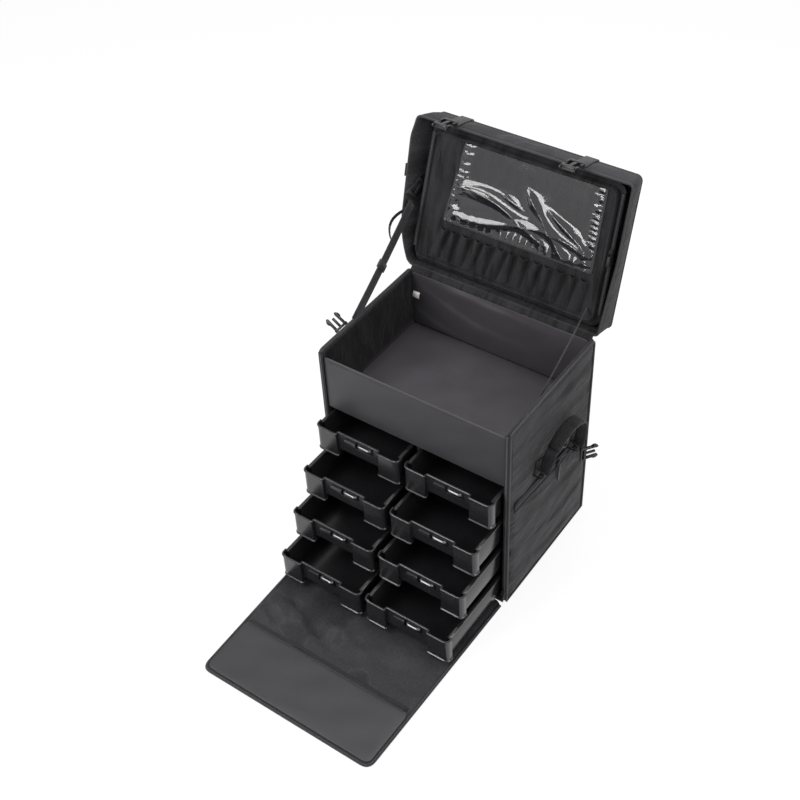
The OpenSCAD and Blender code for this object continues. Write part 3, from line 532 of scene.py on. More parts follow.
def pad(shape, place, half, thick, corner=4.0, edge=3.0, step=12.0, front=no_swell, back=no_swell, soft=5.0,
        cut=as_drawn):
    """A padded panel with round edges; front and back give how far each face swells, cut moves its plan."""
    xs = spread(half[0], edge, step)
    ys = spread(half[1], edge, step)
    for side, swell in ((1, front), (-1, back)):
        rows = []
        for y in ys:
            row = []
            for x in xs:
                inset = min(half[0] - abs(x), half[1] - abs(y))
                share = min(inset / edge, 1.0)
                rise = thick / 2 * math.sqrt(max(0.0, 1 - (1 - share) ** 2))
                px, py = rounded_place(x, y, half, corner)
                rise += swell(px, py) * smooth_step(inset / (edge * soft))
                row.append(place @ Vector((*cut(px, py), side * rise)))
            rows.append(row)
        shape.grid(rows, ys, xs, flip=side > 0)


def lengths(path, closed=False):
    """Distance along a path at each point, with the closing point where it is closed."""
    total = [0.0]
    ring = list(path) + [path[0]] if closed else path
    for a, b in zip(ring, ring[1:]):
        total.append(total[-1] + (b - a).length)
    return total


def tangents(path, closed=False):
    count = len(path)
    found = []
    for i in range(count):
        before = path[i - 1] if i or closed else path[0]
        after = path[(i + 1) % count] if i + 1 < count or closed else path[-1]
        found.append((after - before).normalized())
    return found


def sweep(shape, path, section, width_axis):
    """Carries a closed section along a path; a section point is (outwards, along width_axis)."""
    path = [Vector(p) for p in path]
    axis = Vector(width_axis).normalized()
    first = len(shape.points)
    rows = []
    for i, (point, heading) in enumerate(zip(path, tangents(path))):
        outwards = heading.cross(axis).normalized()
        ring = section(i) if callable(section) else section
        rows.append([point + outwards * a + axis * b for a, b in ring])
    ring = section(0) if callable(section) else section
    girth = lengths([Vector((a, b, 0)) for a, b in ring], True)
    shape.grid(rows, lengths(path), girth, wrap_across=True)
    shape.close_ends(first, len(ring), len(path))


def tube(shape, path, radius, sides=8, closed=False):
    """A round cord along any path."""
    path = [Vector(p) for p in path]
    headings = tangents(path, closed)
    side = headings[0].orthogonal().normalized()
    first = len(shape.points)
    rows = []
    for point, heading in zip(path, headings):
        side = (side - heading * side.dot(heading)).normalized()
        other = heading.cross(side)
        rows.append([point + (side * math.cos(a) + other * math.sin(a)) * radius
                     for a in (2 * math.pi * k / sides for k in range(sides))])
    girth = [2 * math.pi * radius * k / sides for k in range(sides + 1)]
    shape.grid(rows, lengths(path, closed), girth, wrap_along=closed, wrap_across=True)
    if not closed:
        shape.close_ends(first, sides, len(path))


def filleted(points, radii, closed=False, steps=5):
    """A path whose corners are rounded; radii is one number or one for each point."""
    points = [Vector(p) for p in points]
    count = len(points)
    if not hasattr(radii, "__len__"):
        radii = [radii] * count
    path = []
    for i, corner in enumerate(points):
        if (not closed and i in (0, count - 1)) or radii[i] <= 0:
            path.append(corner)
            continue
        before, after = points[i - 1], points[(i + 1) % count]
        start = corner + (before - corner).normalized() * radii[i]
        end = corner + (after - corner).normalized() * radii[i]
        for k in range(steps + 1):
            t = k / steps
            path.append(start * (1 - t) ** 2 + corner * (2 * t * (1 - t)) + end * t ** 2)
    return path


def evenly(path, step, closed=False):
    """The same path with points no further apart than step."""
    path = [Vector(p) for p in path]
    ring = path + [path[0]] if closed else path
    made = []
    for a, b in zip(ring, ring[1:]):
        count = max(1, math.ceil((b - a).length / step))
        made.extend(a.lerp(b, k / count) for k in range(count))
    return made if closed else made + [path[-1]]


def walk(path, pitch, margin=0.0):
    """Points and headings along a path at a steady pitch."""
    path = [Vector(p) for p in path]
    place = margin + pitch / 2
    done = 0.0
    total = lengths(path)[-1]
    for a, b in zip(path, path[1:]):
        size = (b - a).length
        while place <= done + size and place <= total - margin and size > 0:
            yield a.lerp(b, (place - done) / size), (b - a) / size
            place += pitch
        done += size


def flat_ring(width, thick):
    """Section of a flat band with round edges: outwards is its thickness."""
    w, t = width / 2, thick / 2
    bevel = min(t * 0.8, w * 0.4)
    return [(-t, -w + bevel), (-t, w - bevel), (-t * 0.4, w), (t * 0.4, w),
            (t, w - bevel), (t, -w + bevel), (t * 0.4, -w), (-t * 0.4, -w)]


def brick(shape, centre, axes, half):
    """A small block with its top edges drawn in."""
    first = len(shape.points)
    for up in (-1, 1):
        inset = 1.0 if up < 0 else 0.75
        for a, b in ((-1, -1), (1, -1), (1, 1), (-1, 1)):
            shape.points.append(centre + axes[0] * (a * half[0] * inset) + axes[1] * (b * half[1] * inset)
                                + axes[2] * (up * half[2]))
    rings = [(0, 3, 2, 1), (4, 5, 6, 7), (0, 1, 5, 4), (1, 2, 6, 5), (2, 3, 7, 6), (3, 0, 4, 7)]
    for ring in rings:
        shape.faces.append([first + i for i in ring])
        shape.corners.append([(0.0, 0.0), (1.0, 0.0), (1.0, 1.0), (0.0, 1.0)])


STITCH_PITCH = 1.45
STITCH_LIFT = 0.2
STITCH_SECTION = (0.42, 0.35)
TOOTH_SHIFT = 0.12
TOOTH_SHARES = (0.21, 0.36)
TOOTH_LIFT = 0.6


def stitches(shape, path, out, margin=2.0):
    """A row of sewn stitches lying on a face whose outward direction is out."""
    out = Vector(out).normalized()
    length = sizes().stitch / MM
    for point, heading in walk(path, length * STITCH_PITCH, margin):
        axes = (heading, out.cross(heading), out)
        brick(shape, point + out * STITCH_LIFT, axes, (length / 2, *STITCH_SECTION))


def teeth(shape, path, out, width=4.6):
    """The two interlocked rows of a zip's teeth."""
    out = Vector(out).normalized()
    pitch = sizes().tooth / MM
    half = (pitch * TOOTH_SHARES[0], width * TOOTH_SHARES[1], TOOTH_LIFT)
    for k, (point, heading) in enumerate(walk(path, pitch / 2)):
        side = out.cross(heading)
        shift = side * (width * TOOTH_SHIFT if k % 2 else -width * TOOTH_SHIFT)
        brick(shape, point + shift + out * TOOTH_LIFT, (heading, side, out), half)


def zip_pieces(name, tape, rows, body, stands_for=()):
    """A zip's tape and its rows of teeth, as two pieces."""
    tape.piece(name + "_tape", "zip_tape", body, "zip", stands_for)
    rows.piece(name + "_teeth", "zip_teeth", body, "zip")


def moulded(shape, place, outline, low, high, soften, steps=2):
    """A plastic moulding: an outline raised from low to high with rounded edges."""
    bm = bmesh.new()
    face = bm.faces.new([bm.verts.new((x, y, low)) for x, y in outline])
    grown = bmesh.ops.extrude_face_region(bm, geom=[face])
    raised = [item for item in grown["geom"] if isinstance(item, bmesh.types.BMVert)]
    bmesh.ops.translate(bm, verts=raised, vec=(0, 0, high - low))
    bmesh.ops.recalc_face_normals(bm, faces=bm.faces)
    bmesh.ops.bevel(bm, geom=bm.edges[:], offset=soften, segments=steps, profile=0.6, affect="EDGES",
                    clamp_overlap=True)
    shape.take(bm, place)


def slab(shape, place, x0, y0, x1, y1, low, high, soften):
    moulded(shape, place, [(x0, y0), (x1, y0), (x1, y1), (x0, y1)], low, high, soften)


def twin_slabs(shape, place, inner, outer, y0, y1, low, high, soften):
    """Two like slabs, one on each side of the middle."""
    for side in (-1, 1):
        x0, x1 = sorted((side * inner, side * outer))
        slab(shape, place, x0, y0, x1, y1, low, high, soften)


def round_outline(half_x, half_y, radius, steps=6):
    """Corner points of a rectangle with round corners, anticlockwise."""
    outline = []
    for sx, sy, start in ((1, -1, -90), (1, 1, 0), (-1, 1, 90), (-1, -1, 180)):
        for k in range(steps + 1):
            angle = math.radians(start + 90 * k / steps)
            outline.append((sx * (half_x - radius) + radius * math.cos(angle),
                            sy * (half_y - radius) + radius * math.sin(angle)))
    return outline


def dress(node, material):
    """Gives a CAD node that stays a finish of its own."""
    held = frame["nodes"][node]
    held.data.materials.clear()
    held.data.materials.append(finish(material))


class PieceOperator:
    """What every operator here shares: it belongs to the case and either finishes or raises."""

    bl_options = {"REGISTER"}

    def execute(self, context):
        self.build()
        return {"FINISHED"}


# Case

class CASE_OT_walls(PieceOperator, bpy.types.Operator):
    """Side and back walls of the case, padded fabric with sewn-in piping."""

    bl_idname = "rolling_case.walls"
    bl_label = "Walls"

    def build(self):
        tall = (TOP_Z - BASE_Z) / 2
        deep = (BACK_Y - FRONT_Y) / 2
        middle = (TOP_Z + BASE_Z) / 2
        bow = sizes().bow / MM

        def swell(seed):
            return lambda x, y: (bow * 0.6 * math.cos(x / deep * 1.4) * math.cos(y / tall * 1.4)
                                 + 1.1 * ripple(x, y, seed) + sag(x, y, seed))

        def flat_behind_handle(x, y):
            away = math.hypot((x - HANDLE_PIN.y) / 110, (y + middle - HANDLE_PIN.z - HANDLE_RISE / 2) / 85)
            return swell(2.3)(x, y) * (0.1 + 0.9 * smooth_step((away - 0.75) / 0.35))

        for side, name, axis, front in ((1, "right_wall", BACK, flat_behind_handle),
                                        (-1, "left_wall", FRONT, swell(0.3))):
            wall = Shape()
            place = facing((side * (CASE_X - WALL / 2), 0, middle), axis, UP)
            pad(wall, place, (deep, tall), WALL, front=front, step=5)
            wall.piece(name + "_fabric", "shell_fabric", "case", "shell", [name])
        self.linings(deep)
        wall = Shape()
        centre, half = node_middle("back_wall")
        pad(wall, facing((0, centre.y, centre.z), LEFT, UP), (half.x, half.z), WALL, step=11,
            front=swell(4.0), back=lambda x, y: 0.8 * ripple(x, y, 2.2))
        wall.piece("back_wall_fabric", "shell_fabric", "case", "shell", ["back_wall"])
        self.piping()

    def linings(self, deep):
        """Thin slack cloth on the inside of the walls, over the tray."""
        middle = (TOP_Z + TRAY_Z) / 2
        tall = (TOP_Z - TRAY_Z) / 2

        def slack(x, y):
            return 0.6 + 0.9 * ripple(x, y * 0.5, 5.5) + 0.5 * sag(y, x, 1.0)

        sides, back = Shape(), Shape()
        for side in (-1, 1):
            place = facing((side * (INNER_X - 0.6), 0, middle), (0, -side, 0), UP)
            pad(sides, place, (deep - 8, tall - 7), 1.0, edge=0.5, step=7, soft=20, front=slack)
        sides.piece("side_wall_linings", "inner_lining", "case", "lining")
        place = facing((0, BACK_Y - WALL - 1.4, middle), RIGHT, UP)
        pad(back, place, (INNER_X - 1, tall - 3), 1.0, edge=0.5, step=5, soft=20,
            front=lambda x, y: 0.4 + 0.9 * ripple(x, y, 2.2) + 0.7 * sag(x, y, 2.6))
        back.piece("back_wall_lining", "back_satin", "case", "satin")

    def piping(self):
        """Cords in the seams of the side walls, and the stitches beside them."""
        cord = sizes().cord / MM / 2
        cords, rows = Shape(), Shape()
        for side in (-1, 1):
            seam = side * (CASE_X + cord * 0.5)
            front, back, low, high = FRONT_Y + 1, BACK_Y - 1, BASE_Z + 2, TOP_Z - 2
            route = [(seam, back, low), (seam, back, high), (seam, front, high), (seam, front, low)]
            tube(cords, evenly(filleted(route, [0, 10, 10, 0]), 14), cord)
            tube(cords, evenly([(seam, front, BASE_Z + 3), (seam, back, BASE_Z + 3)], 14), cord)
            face = side * (CASE_X + 0.4)
            for y in (FRONT_Y + 11, BACK_Y - 11):
                stitches(rows, [(face, y, BASE_Z + 12), (face, y, TOP_Z - 14)], (side, 0, 0))
            stitches(rows, [(face, FRONT_Y + 12, TOP_Z - 12), (face, BACK_Y - 12, TOP_Z - 12)], (side, 0, 0))
        cords.piece("wall_cords", "ribbed_webbing", "case", "trim", ["wall_piping"])
        rows.piece("wall_stitches", "ribbed_webbing", "case", "trim")


class CASE_OT_base(PieceOperator, bpy.types.Operator):
    """Base, divider and runners, which keep their CAD shapes, and the cloth over the lid's hinge."""

    bl_idname = "rolling_case.base"
    bl_label = "Base and runners"

    def build(self):
        for node in ("base_pan", "base_board", "cabinet_divider", "drawer_runners"):
            dress(node, "moulded_plastic")
        for node in ("lid_hinge_cord", "flap_hinge_cord"):
            dress(node, "ribbed_webbing")
        self.hinge_cloth()

    def hinge_cloth(self):
        """Lining that runs from the back wall over the hinge cord into the lid."""
        cloth = Shape()
        start = Vector((0, BACK_Y - WALL - 0.8, TOP_Z - 9))
        end = lid_point(0, 7.5, 12)
        bend = [start, Vector((0, BACK_Y - WALL - 1.0, TOP_Z - 2)), lid_point(0, 6.0, 1.0), end]
        sweep(cloth, evenly(filleted(bend, [0, 4, 4, 0]), 3), flat_ring(2 * CASE_X - 5, 0.8), RIGHT)
        made = cloth.piece("hinge_cloth", "lining_fabric", None, "lining")
        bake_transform(made)


class CASE_OT_tray(PieceOperator, bpy.types.Operator):
    """Tray over the drawers: floor, front panel and a blank sewn tag."""

    bl_idname = "rolling_case.tray"
    bl_label = "Tray"

    def build(self):
        floor, front = Shape(), Shape()
        centre, half = node_middle("tray_floor")
        pad(floor, facing(centre, RIGHT, BACK), (half.x, half.y), 2 * half.z, edge=2, step=16,
            front=lambda x, y: 0.8 * ripple(x, y, 5.0))
        floor.piece("tray_floor_fabric", "satin_fabric", "case", "satin", ["tray_floor"])
        centre, half = node_middle("tray_front")
        pad(front, facing(centre, RIGHT, UP), (half.x, half.z), 2 * half.y, edge=1.5, step=10, soft=10,
            front=lambda x, y: 0.7 + 0.8 * ripple(x, y, 0.4), back=lambda x, y: 0.4 * ripple(x, y, 1.4))
        front.piece("tray_front_fabric", "front_satin", "case", "satin", ["tray_front"])
        hem = Shape()
        low, high = centre - half, centre + half
        for z in (low.z + 5, high.z - 6):
            stitches(hem, [(low.x + 8, low.y - 0.3, z), (high.x - 8, low.y - 0.3, z)], FRONT)
        hem.piece("tray_stitches", "ribbed_webbing", "case", "trim")
        self.tag()

    def tag(self):
        tag = Shape()
        path = [(0, 0, 0), (0, -3, -3), (0, -4, -9), (0, -3, -13)]
        corner = Vector((-INNER_X + 12, BACK_Y - WALL - 3.6, TOP_Z - 44))
        sweep(tag, [corner + Vector(p) for p in filleted(path, 2)], flat_ring(14, 0.6), RIGHT)
        tag.piece("blank_tag", "blank_tag", "case", "trim")


# Drawers

DRAWERS = [(side, row) for side in ("left", "right") for row in (1, 2, 3, 4)]
DRAWER_H = 55.5
DRAWER_T = 2.0
FRONT_HALF = 87.5
FRONT_DEEP = 14.0
RECESS_HALF = 44.0
RECESS_DEEP = 7.0
RECESS_CUT = 14.0
BOX_HALF = 81.5
BEAD = 1.8
LEDGE_Y = FRONT_DEEP + 4
PULL_AT = 44.0
BAR_AT = 46.0
BAR_R = 2.8


class CASE_OT_drawers(PieceOperator, bpy.types.Operator):
    """Eight glossy drawers with a set-back middle, rolled rim and moulded pull."""

    bl_idname = "rolling_case.drawers"
    bl_label = "Drawers"

    def build(self):
        for side, row in DRAWERS:
            node = f"drawer_{side}_{row}"
            low, high = node_box(node)
            origin = Vector(((low.x + high.x) / 2, low.y + BEAD, low.z))
            length = high.y - origin.y
            drawer = Shape()
            place = Matrix.Translation(origin)
            self.front(drawer, place)
            self.box(drawer, place, length)
            self.pull(drawer, place)
            body = f"{side}_drawer_{row}"
            drawer.piece(node + "_moulding", "drawer_gloss", body, "drawer", [node], sharp=38)
            self.bar(place).piece(node + "_pull", "polished_pull", body, "drawer")

    def front(self, drawer, place):
        """The wrapped front, carried along its plan with a rolled rim."""
        plan = [(-FRONT_HALF, FRONT_DEEP), (-FRONT_HALF, 0), (-RECESS_HALF, 0), (-RECESS_HALF, RECESS_DEEP),
                (RECESS_HALF, RECESS_DEEP), (RECESS_HALF, 0), (FRONT_HALF, 0), (FRONT_HALF, FRONT_DEEP)]
        radii = [0, 9, 2.2, 2.2, 2.2, 2.2, 9, 0]
        flat = evenly(filleted([(x, y, 0) for x, y in plan], radii), 4)

        def section(i):
            x = abs(flat[i].x)
            wing = smooth_step((x - RECESS_HALF + 1.2) / 1.2)
            low = RECESS_CUT * (1 - wing)
            lip = 1.5 * wing
            corner = smooth_step((x - FRONT_HALF + 13) / 9)
            top = DRAWER_H + 1.3 * corner
            t = DRAWER_T
            return [(-t, low), (lip, low), (lip, low + 1.8), (0, low + 3.4), (0, top - 5.2), (1.0, top - 4.0),
                    (BEAD, top - 2.6), (BEAD - 0.2, top - 1.0), (0.7, top), (-t + 0.6, top), (-t, top - 0.7)]

        sweep(drawer, [place @ p for p in flat], section, UP)

    def box(self, drawer, place, length):
        """Sides, back, floor, the ledge under the middle of the front, and the flanges."""
        side = BOX_HALF - DRAWER_T / 2
        near, far = FRONT_DEEP - 2, length - 1
        path = [(-side, near, 0), (-side, far, 0), (side, far, 0), (side, near, 0)]
        wall = [(-1, 0), (1, 0), (1, DRAWER_H - 0.8), (0.4, DRAWER_H), (-0.4, DRAWER_H), (-1, DRAWER_H - 0.8)]
        sweep(drawer, [place @ p for p in evenly(filleted(path, [0, 5, 5, 0]), 30)], wall, UP)
        wing, recess = FRONT_HALF - 1.6, RECESS_HALF + 1
        floor = [(recess, LEDGE_Y), (recess, 2), (wing, 2), (wing, FRONT_DEEP), (side, FRONT_DEEP),
                 (side, length - 1.5)]
        floor += [(-x, y) for x, y in reversed(floor)]
        moulded(drawer, place, floor, 0, DRAWER_T, 0.3, 1)
        edge = RECESS_HALF + DRAWER_T
        slab(drawer, place, -edge, RECESS_DEEP + 0.4, edge, LEDGE_Y + 2, RECESS_CUT, RECESS_CUT + 2, 0.4)
        slab(drawer, place, -edge, LEDGE_Y, edge, LEDGE_Y + 2, 0, RECESS_CUT + 1.5, 0.4)
        twin_slabs(drawer, place, RECESS_HALF, edge, RECESS_DEEP - 1, LEDGE_Y + 2, 0, RECESS_CUT + 2, 0.4)
        twin_slabs(drawer, place, BOX_HALF - 2, FRONT_HALF - 0.2, near, FRONT_DEEP, 0, DRAWER_H - 1, 0.4)
        twin_slabs(drawer, place, BOX_HALF - 1.5, BOX_HALF + 5, near + 1, length, DRAWER_H - 2.5, DRAWER_H, 0.6)

    def pull(self, drawer, place):
        """A rounded block and the seat of the bright bar on the set-back middle, with a lip around them."""
        upright = place @ facing((0, RECESS_DEEP, PULL_AT), RIGHT, UP)
        moulded(drawer, upright @ Matrix.Translation((-16, -1, 0)), round_outline(12, 6, 2.6), -0.5, 5.6, 1.3)
        moulded(drawer, upright @ Matrix.Translation((15, 2, 0)), round_outline(14, 4.6, 2.2), -0.5, 2.0, 0.8)
        slab(drawer, upright, -29, -9.0, 29, -7.2, -0.5, 3.2, 0.5)
        slab(drawer, upright, 27, -8, 29, 5, -0.5, 3.2, 0.5)

    def bar(self, place):
        """The bright bar of the pull, bent back at its ends."""
        bar = Shape()
        plan = ((2, 2), (4, 4.6), (24, 4.6), (27, 2))
        bends = [place @ Vector((x, RECESS_DEEP - out, BAR_AT)) for x, out in plan]
        tube(bar, evenly(filleted(bends, [0, 2, 2, 0]), 3), BAR_R, 12)
        return bar


# Lid

LID_LOW_R = 2.1
LID_LONG = 282.0
LID_DEEP = 50.0
LID_CORNER = 10.0
LID_WALL_DEEP = 46.0
LID_WALL_T = 4.0
LID_STEP = 9.0
LID_SEWN_AT = 8.0
LEAN_LEFT_RUN = 95.0
LEAN_RIGHT_RUN = 130.0
LEAN_BACK_FROM = 235.0
LEAN_BACK = 8.0
LID_MIDDLE = (LID_LOW_R + LID_LONG) / 2
LID_HALF_R = (LID_LONG - LID_LOW_R) / 2
LINING_AT = 16.0
LINING_MARGIN = 9.0
PANEL_AT = 8.0
PANEL_HALF_X = 178.0
PANEL_R0 = 20.1
PANEL_R1 = 264.0
PANEL_SPREAD = 14.0
PANEL_MIDDLE = (PANEL_R0 + PANEL_R1) / 2
PANEL_HALF_R = (PANEL_R1 - PANEL_R0) / 2
FILM_HALF = (145.0, 74.0)
FILM_AT = (10.0, 184.0)
FILM_SLANT = 24.0
FILM_NET = (176, 84)
FILM_RISE = 1.8
BRUSH_R0 = 32.1
BRUSH_LONG = 60.0
BRUSH_X0 = -162.0
BRUSH_WIDE = 312.0
BRUSH_COUNT = 13
BRUSH_LEAN = 13.0
STRIP_RISE = 7.0


def lid_lean(x, r):
    """How far the soft walls lean out at the lid's mouth, beside a place on its outline."""
    rise = math.sin(min(max(r - 2, 0.0) / LEAN_LEFT_RUN, 1.0) * math.pi / 2) ** 0.8
    left = FLARE_LEFT * rise - LEAN_BACK * smooth_step((r - LEAN_BACK_FROM) / 45)
    right = FLARE_RIGHT * min(max(r - 12, 0.0) / LEAN_RIGHT_RUN, 1.0)
    return right * min(max(x / LID_X, 0.0), 1.0) - left * min(max(-x / LID_X, 0.0), 1.0)


def lid_wall_place(spot, outwards, depth):
    """A place on the lid's wall, from a spot of lid_spots, how far out of it and how deep."""
    point, out = spot
    x = point.x + out.x * outwards
    r = LID_MIDDLE - point.y - out.y * outwards
    return lid_point(x + lid_lean(x, r) * max(0.0, 1 - depth / LID_WALL_DEEP), r, depth)


def lid_spots():
    """Points round the lid's outline, each with its outward direction."""
    outline = round_outline(LID_X, LID_HALF_R, LID_CORNER)
    path = evenly([(x, y, 0) for x, y in outline], LID_STEP, True)
    return [(p, Vector((t.y, -t.x, 0))) for p, t in zip(path, tangents(path, True))]


def lid_ring(inset, depth):
    """Path round the lid, that far inside its outline and that deep."""
    return [lid_wall_place(spot, -inset, depth) for spot in lid_spots()]


def panel_cut(x, y):
    """Widens the inner panel on the left towards its hinge end; y runs to the hinge."""
    hinge = y / (2 * PANEL_HALF_R) + 0.5
    left = 0.5 - x / (2 * PANEL_HALF_X)
    return x - PANEL_SPREAD * min(max(hinge, 0.0), 1.0) * left, y


class CASE_OT_lid_shell(PieceOperator, bpy.types.Operator):
    """Lid's padded panel and walls, with the cords at their seams and stitches beside the mouth."""

    bl_idname = "rolling_case.lid_shell"
    bl_label = "Lid shell"

    def build(self):
        walls = Shape()
        inner = -LID_WALL_T
        rows = []
        for point, out in lid_spots():
            r = LID_MIDDLE - point.y
            swell = 2.2 + 1.8 * ripple(point.x * 1.3, r * 1.5, 0.9)
            bulge = swell * smooth_step((r - 6) / 30)
            dent = 2.4 * ripple(point.x * 2.1, r * 2.3, 2.7) * smooth_step((r - 6) / 30)
            ring = [(inner, 1.2), (-3, 0.3), (-1, 0.3), (0, 1.2),
                    (bulge * 0.6, 12), (bulge, 26), (bulge * 0.5, 40), (-0.4, 46.5), (inner, 46.5),
                    (inner + dent * 0.4, 38), (inner + dent, 30), (inner + dent * 0.8, 20),
                    (inner + dent * 0.4, 10)]
            rows.append([lid_wall_place((point, out), a, d) for a, d in ring])
        girth = lengths([Vector((a, d, 0)) for a, d in ring], True)
        walls.grid(rows, lengths([row[0] for row in rows], True), girth, wrap_along=True, wrap_across=True)
        walls.piece("lid_wall_fabric", "shell_fabric", "lid", "shell", ["lid_walls"])
        panel = Shape()
        pad(panel, lid_place(0, LID_MIDDLE, LID_DEEP - 2), (LID_X, LID_HALF_R), 4, corner=LID_CORNER,
            edge=2.5, step=12, soft=14, front=lambda x, y: 1.5 + 1.6 * ripple(x, y, 6.0))
        panel.piece("lid_panel_fabric", "shell_fabric", "lid", "shell", ["lid_panel"])
        cords = Shape()
        cord = sizes().cord / MM / 2
        tube(cords, lid_ring(0.4, LID_DEEP - 3.5), cord, closed=True)
        tube(cords, lid_ring(1.0, 1.6), cord * 0.8, closed=True)
        cords.piece("lid_cords", "ribbed_webbing", "lid", "trim")
        rows = Shape()
        mouth = [p for p in lid_ring(-0.6, LID_SEWN_AT) if (LID_TURN.inverted() @ p).y < -40]
        self.wall_stitches(rows, mouth)
        rows.piece("lid_stitches", "ribbed_webbing", "lid", "trim")

    def wall_stitches(self, rows, ring):
        """Stitches beside the mouth, a short run for each stretch of wall."""
        middle = lid_point(0, LID_LONG / 2, LID_SEWN_AT)
        for a, b in zip(ring, ring[1:]):
            if (b - a).length < 12:
                stitches(rows, [a, b], a - middle, margin=0)


class CASE_OT_lid_inside(PieceOperator, bpy.types.Operator):
    """Lining, padded inner panel, its zips, the clear pocket and the brush band."""

    bl_idname = "rolling_case.lid_inside"
    bl_label = "Lid inside"

    def build(self):
        self.inner = -(LID_TURN.to_3x3() @ Vector(UP))
        self.lining()
        self.panel()
        self.zips()
        self.film()
        self.brushes()

    def lining(self):
        """A lined sheet under the inner panel, on a skirt that stands on the lid's panel."""
        lining = Shape()
        place = lid_place(0, PANEL_MIDDLE, 0)
        half = (PANEL_HALF_X + LINING_MARGIN, PANEL_HALF_R + LINING_MARGIN)
        top = LINING_AT + 1
        pad(lining, place @ Matrix.Translation((0, 0, top)), half, 2, corner=18, edge=1, step=12, soft=6,
            back=lambda x, y: 0.4 + 0.5 * ripple(x * 1.6, y * 1.6, 3.3),
            cut=lambda x, y: (max(panel_cut(x, y)[0], -PANEL_HALF_X - PANEL_SPREAD), y))
        skirt = ((1, top), (1, LID_WALL_DEEP), (0.985, LID_WALL_DEEP), (0.985, top))
        rows = [[place @ Vector((*panel_cut(x * share, y * share), depth)) for share, depth in skirt]
                for x, y in round_outline(PANEL_HALF_X - 4, PANEL_HALF_R - 4, 10)]
        steps = lengths([row[0] for row in rows], True)
        lining.grid(rows, steps, [0, 29, 31, 60, 62], wrap_along=True, wrap_across=True)
        lining.piece("lid_lining_fabric", "lining_fabric", "lid", "satin", ["lid_lining"])

    def panel(self):
        panel = Shape()
        half = (PANEL_HALF_X, PANEL_HALF_R)
        place = lid_place(0, PANEL_MIDDLE, (PANEL_AT + LINING_AT) / 2)

        def slack(x, y):
            left = smooth_step((-x - 85) / 30)
            folds = math.sin(0.40 * x + 0.9 * math.sin(0.031 * y) + 0.4) + 0.5 * math.sin(0.23 * x - 0.05 * y)
            return 0.4 + 0.5 * ripple(x * 1.4, y * 1.4, 1.1) + 2.0 * left * folds

        pad(panel, place, half, LINING_AT - PANEL_AT, corner=14, edge=5, step=4.5, cut=panel_cut, back=slack)
        panel.piece("lid_pad", "lining_fabric", "lid", "lining", ["lid_inner_panel"])
        edge = Shape()
        outline = evenly([(x, y, 0) for x, y in round_outline(half[0] - 3, half[1] - 3, 13)], 8, True)
        ring = [place @ Vector((*panel_cut(p.x, p.y), PANEL_AT - 12.6)) for p in outline]
        tube(edge, ring, 2.0, closed=True)
        edge.piece("lid_pad_cord", "lining_fabric", "lid", "trim")

    def zips(self):
        tape, rows = Shape(), Shape()
        for side in (-1, 1):
            x = side * (PANEL_HALF_X + LINING_MARGIN / 2)
            path = [lid_point(panel_cut(x, PANEL_MIDDLE - r)[0], r, LINING_AT - 1.2)
                    for r in range(36, 257, 10)]
            sweep(tape, path, flat_ring(8, 1.4), RIGHT)
            teeth(rows, path, self.inner)
        zip_pieces("lid_zip", tape, rows, "lid")

    def film(self):
        """A slack clear pocket, gathered along its sides and its lower edge."""
        height = sizes().crinkle / MM
        half_x, half_r = FILM_HALF

        def rise(u, v):
            inside = smooth_step(min(1 - abs(u), 1 - abs(v)) / 0.12)
            return FILM_RISE + height * max(self.crinkle(u, v), 0.0) * inside + 1.4 * self.gather(u, v)

        film, hem = Shape(), Shape()
        us, vs = span(FILM_NET[0]), span(FILM_NET[1])
        rows = [[self.film_point(u, v, rise(u, v)) for u in us] for v in vs]
        film.grid(rows, [half_r * v for v in vs], [half_x * u for u in us])
        made = film.piece("clear_pocket", "clear_film", "lid", "film", ["lid_pocket_film"])
        path = [self.film_point(u, v, 1.2) for u, v in ((-1, 1), (-1, -1), (1, -1), (1, 1))]
        sweep(hem, evenly(filleted(path, [0, 2, 2, 0]), 12), flat_ring(1.6, 8.0), self.inner)
        hem.piece("clear_pocket_binding", "ribbed_webbing", "lid", "trim")

    @staticmethod
    def film_point(u, v, rise):
        """A point that far off the inner panel; the film's left edge slants in towards its top."""
        x = FILM_AT[0] + u * FILM_HALF[0] + FILM_SLANT * (1 - u) / 2 * (1 + v) / 2
        return lid_point(x, FILM_AT[1] + v * FILM_HALF[1], PANEL_AT - rise)

    @staticmethod
    def crinkle(u, v):
        """Slack folds that fall to the right; the upper right stays smooth."""
        def fold(away, wide):
            return math.exp(-(away / wide) ** 2) + 0.45 * math.exp(-(away / wide * 3.2) ** 2)

        long = fold(v + 0.47 + 0.52 * u + 0.10 * math.sin(4 * u), 0.17) * smooth_step((0.5 - u) / 0.3)
        curl = fold(v - 0.12 + 0.9 * (u + 0.55) ** 2, 0.10) * smooth_step((0.1 - u) / 0.25)
        steep = fold((u - 0.06 + 0.5 * (v - 0.25)) * 1.2, 0.10) * smooth_step((0.45 - v) / 0.2)
        low = fold(v + 0.62 - 0.18 * math.sin(3.0 * u + 0.6), 0.11)
        right = fold((u - 0.72 + 0.9 * (v + 0.35)) * 0.9, 0.12) * smooth_step((0.2 - v) / 0.3)
        slack = 0.16 * math.sin(5.1 * u + 3.3 * v + 0.7) + 0.12 * math.sin(9.0 * v - 4.0 * u)
        slack *= 0.25 + 0.75 * smooth_step((0.45 - v) / 0.5)
        return 0.8 * long + 0.4 * curl + 0.75 * steep + 0.6 * low + 0.55 * right + slack

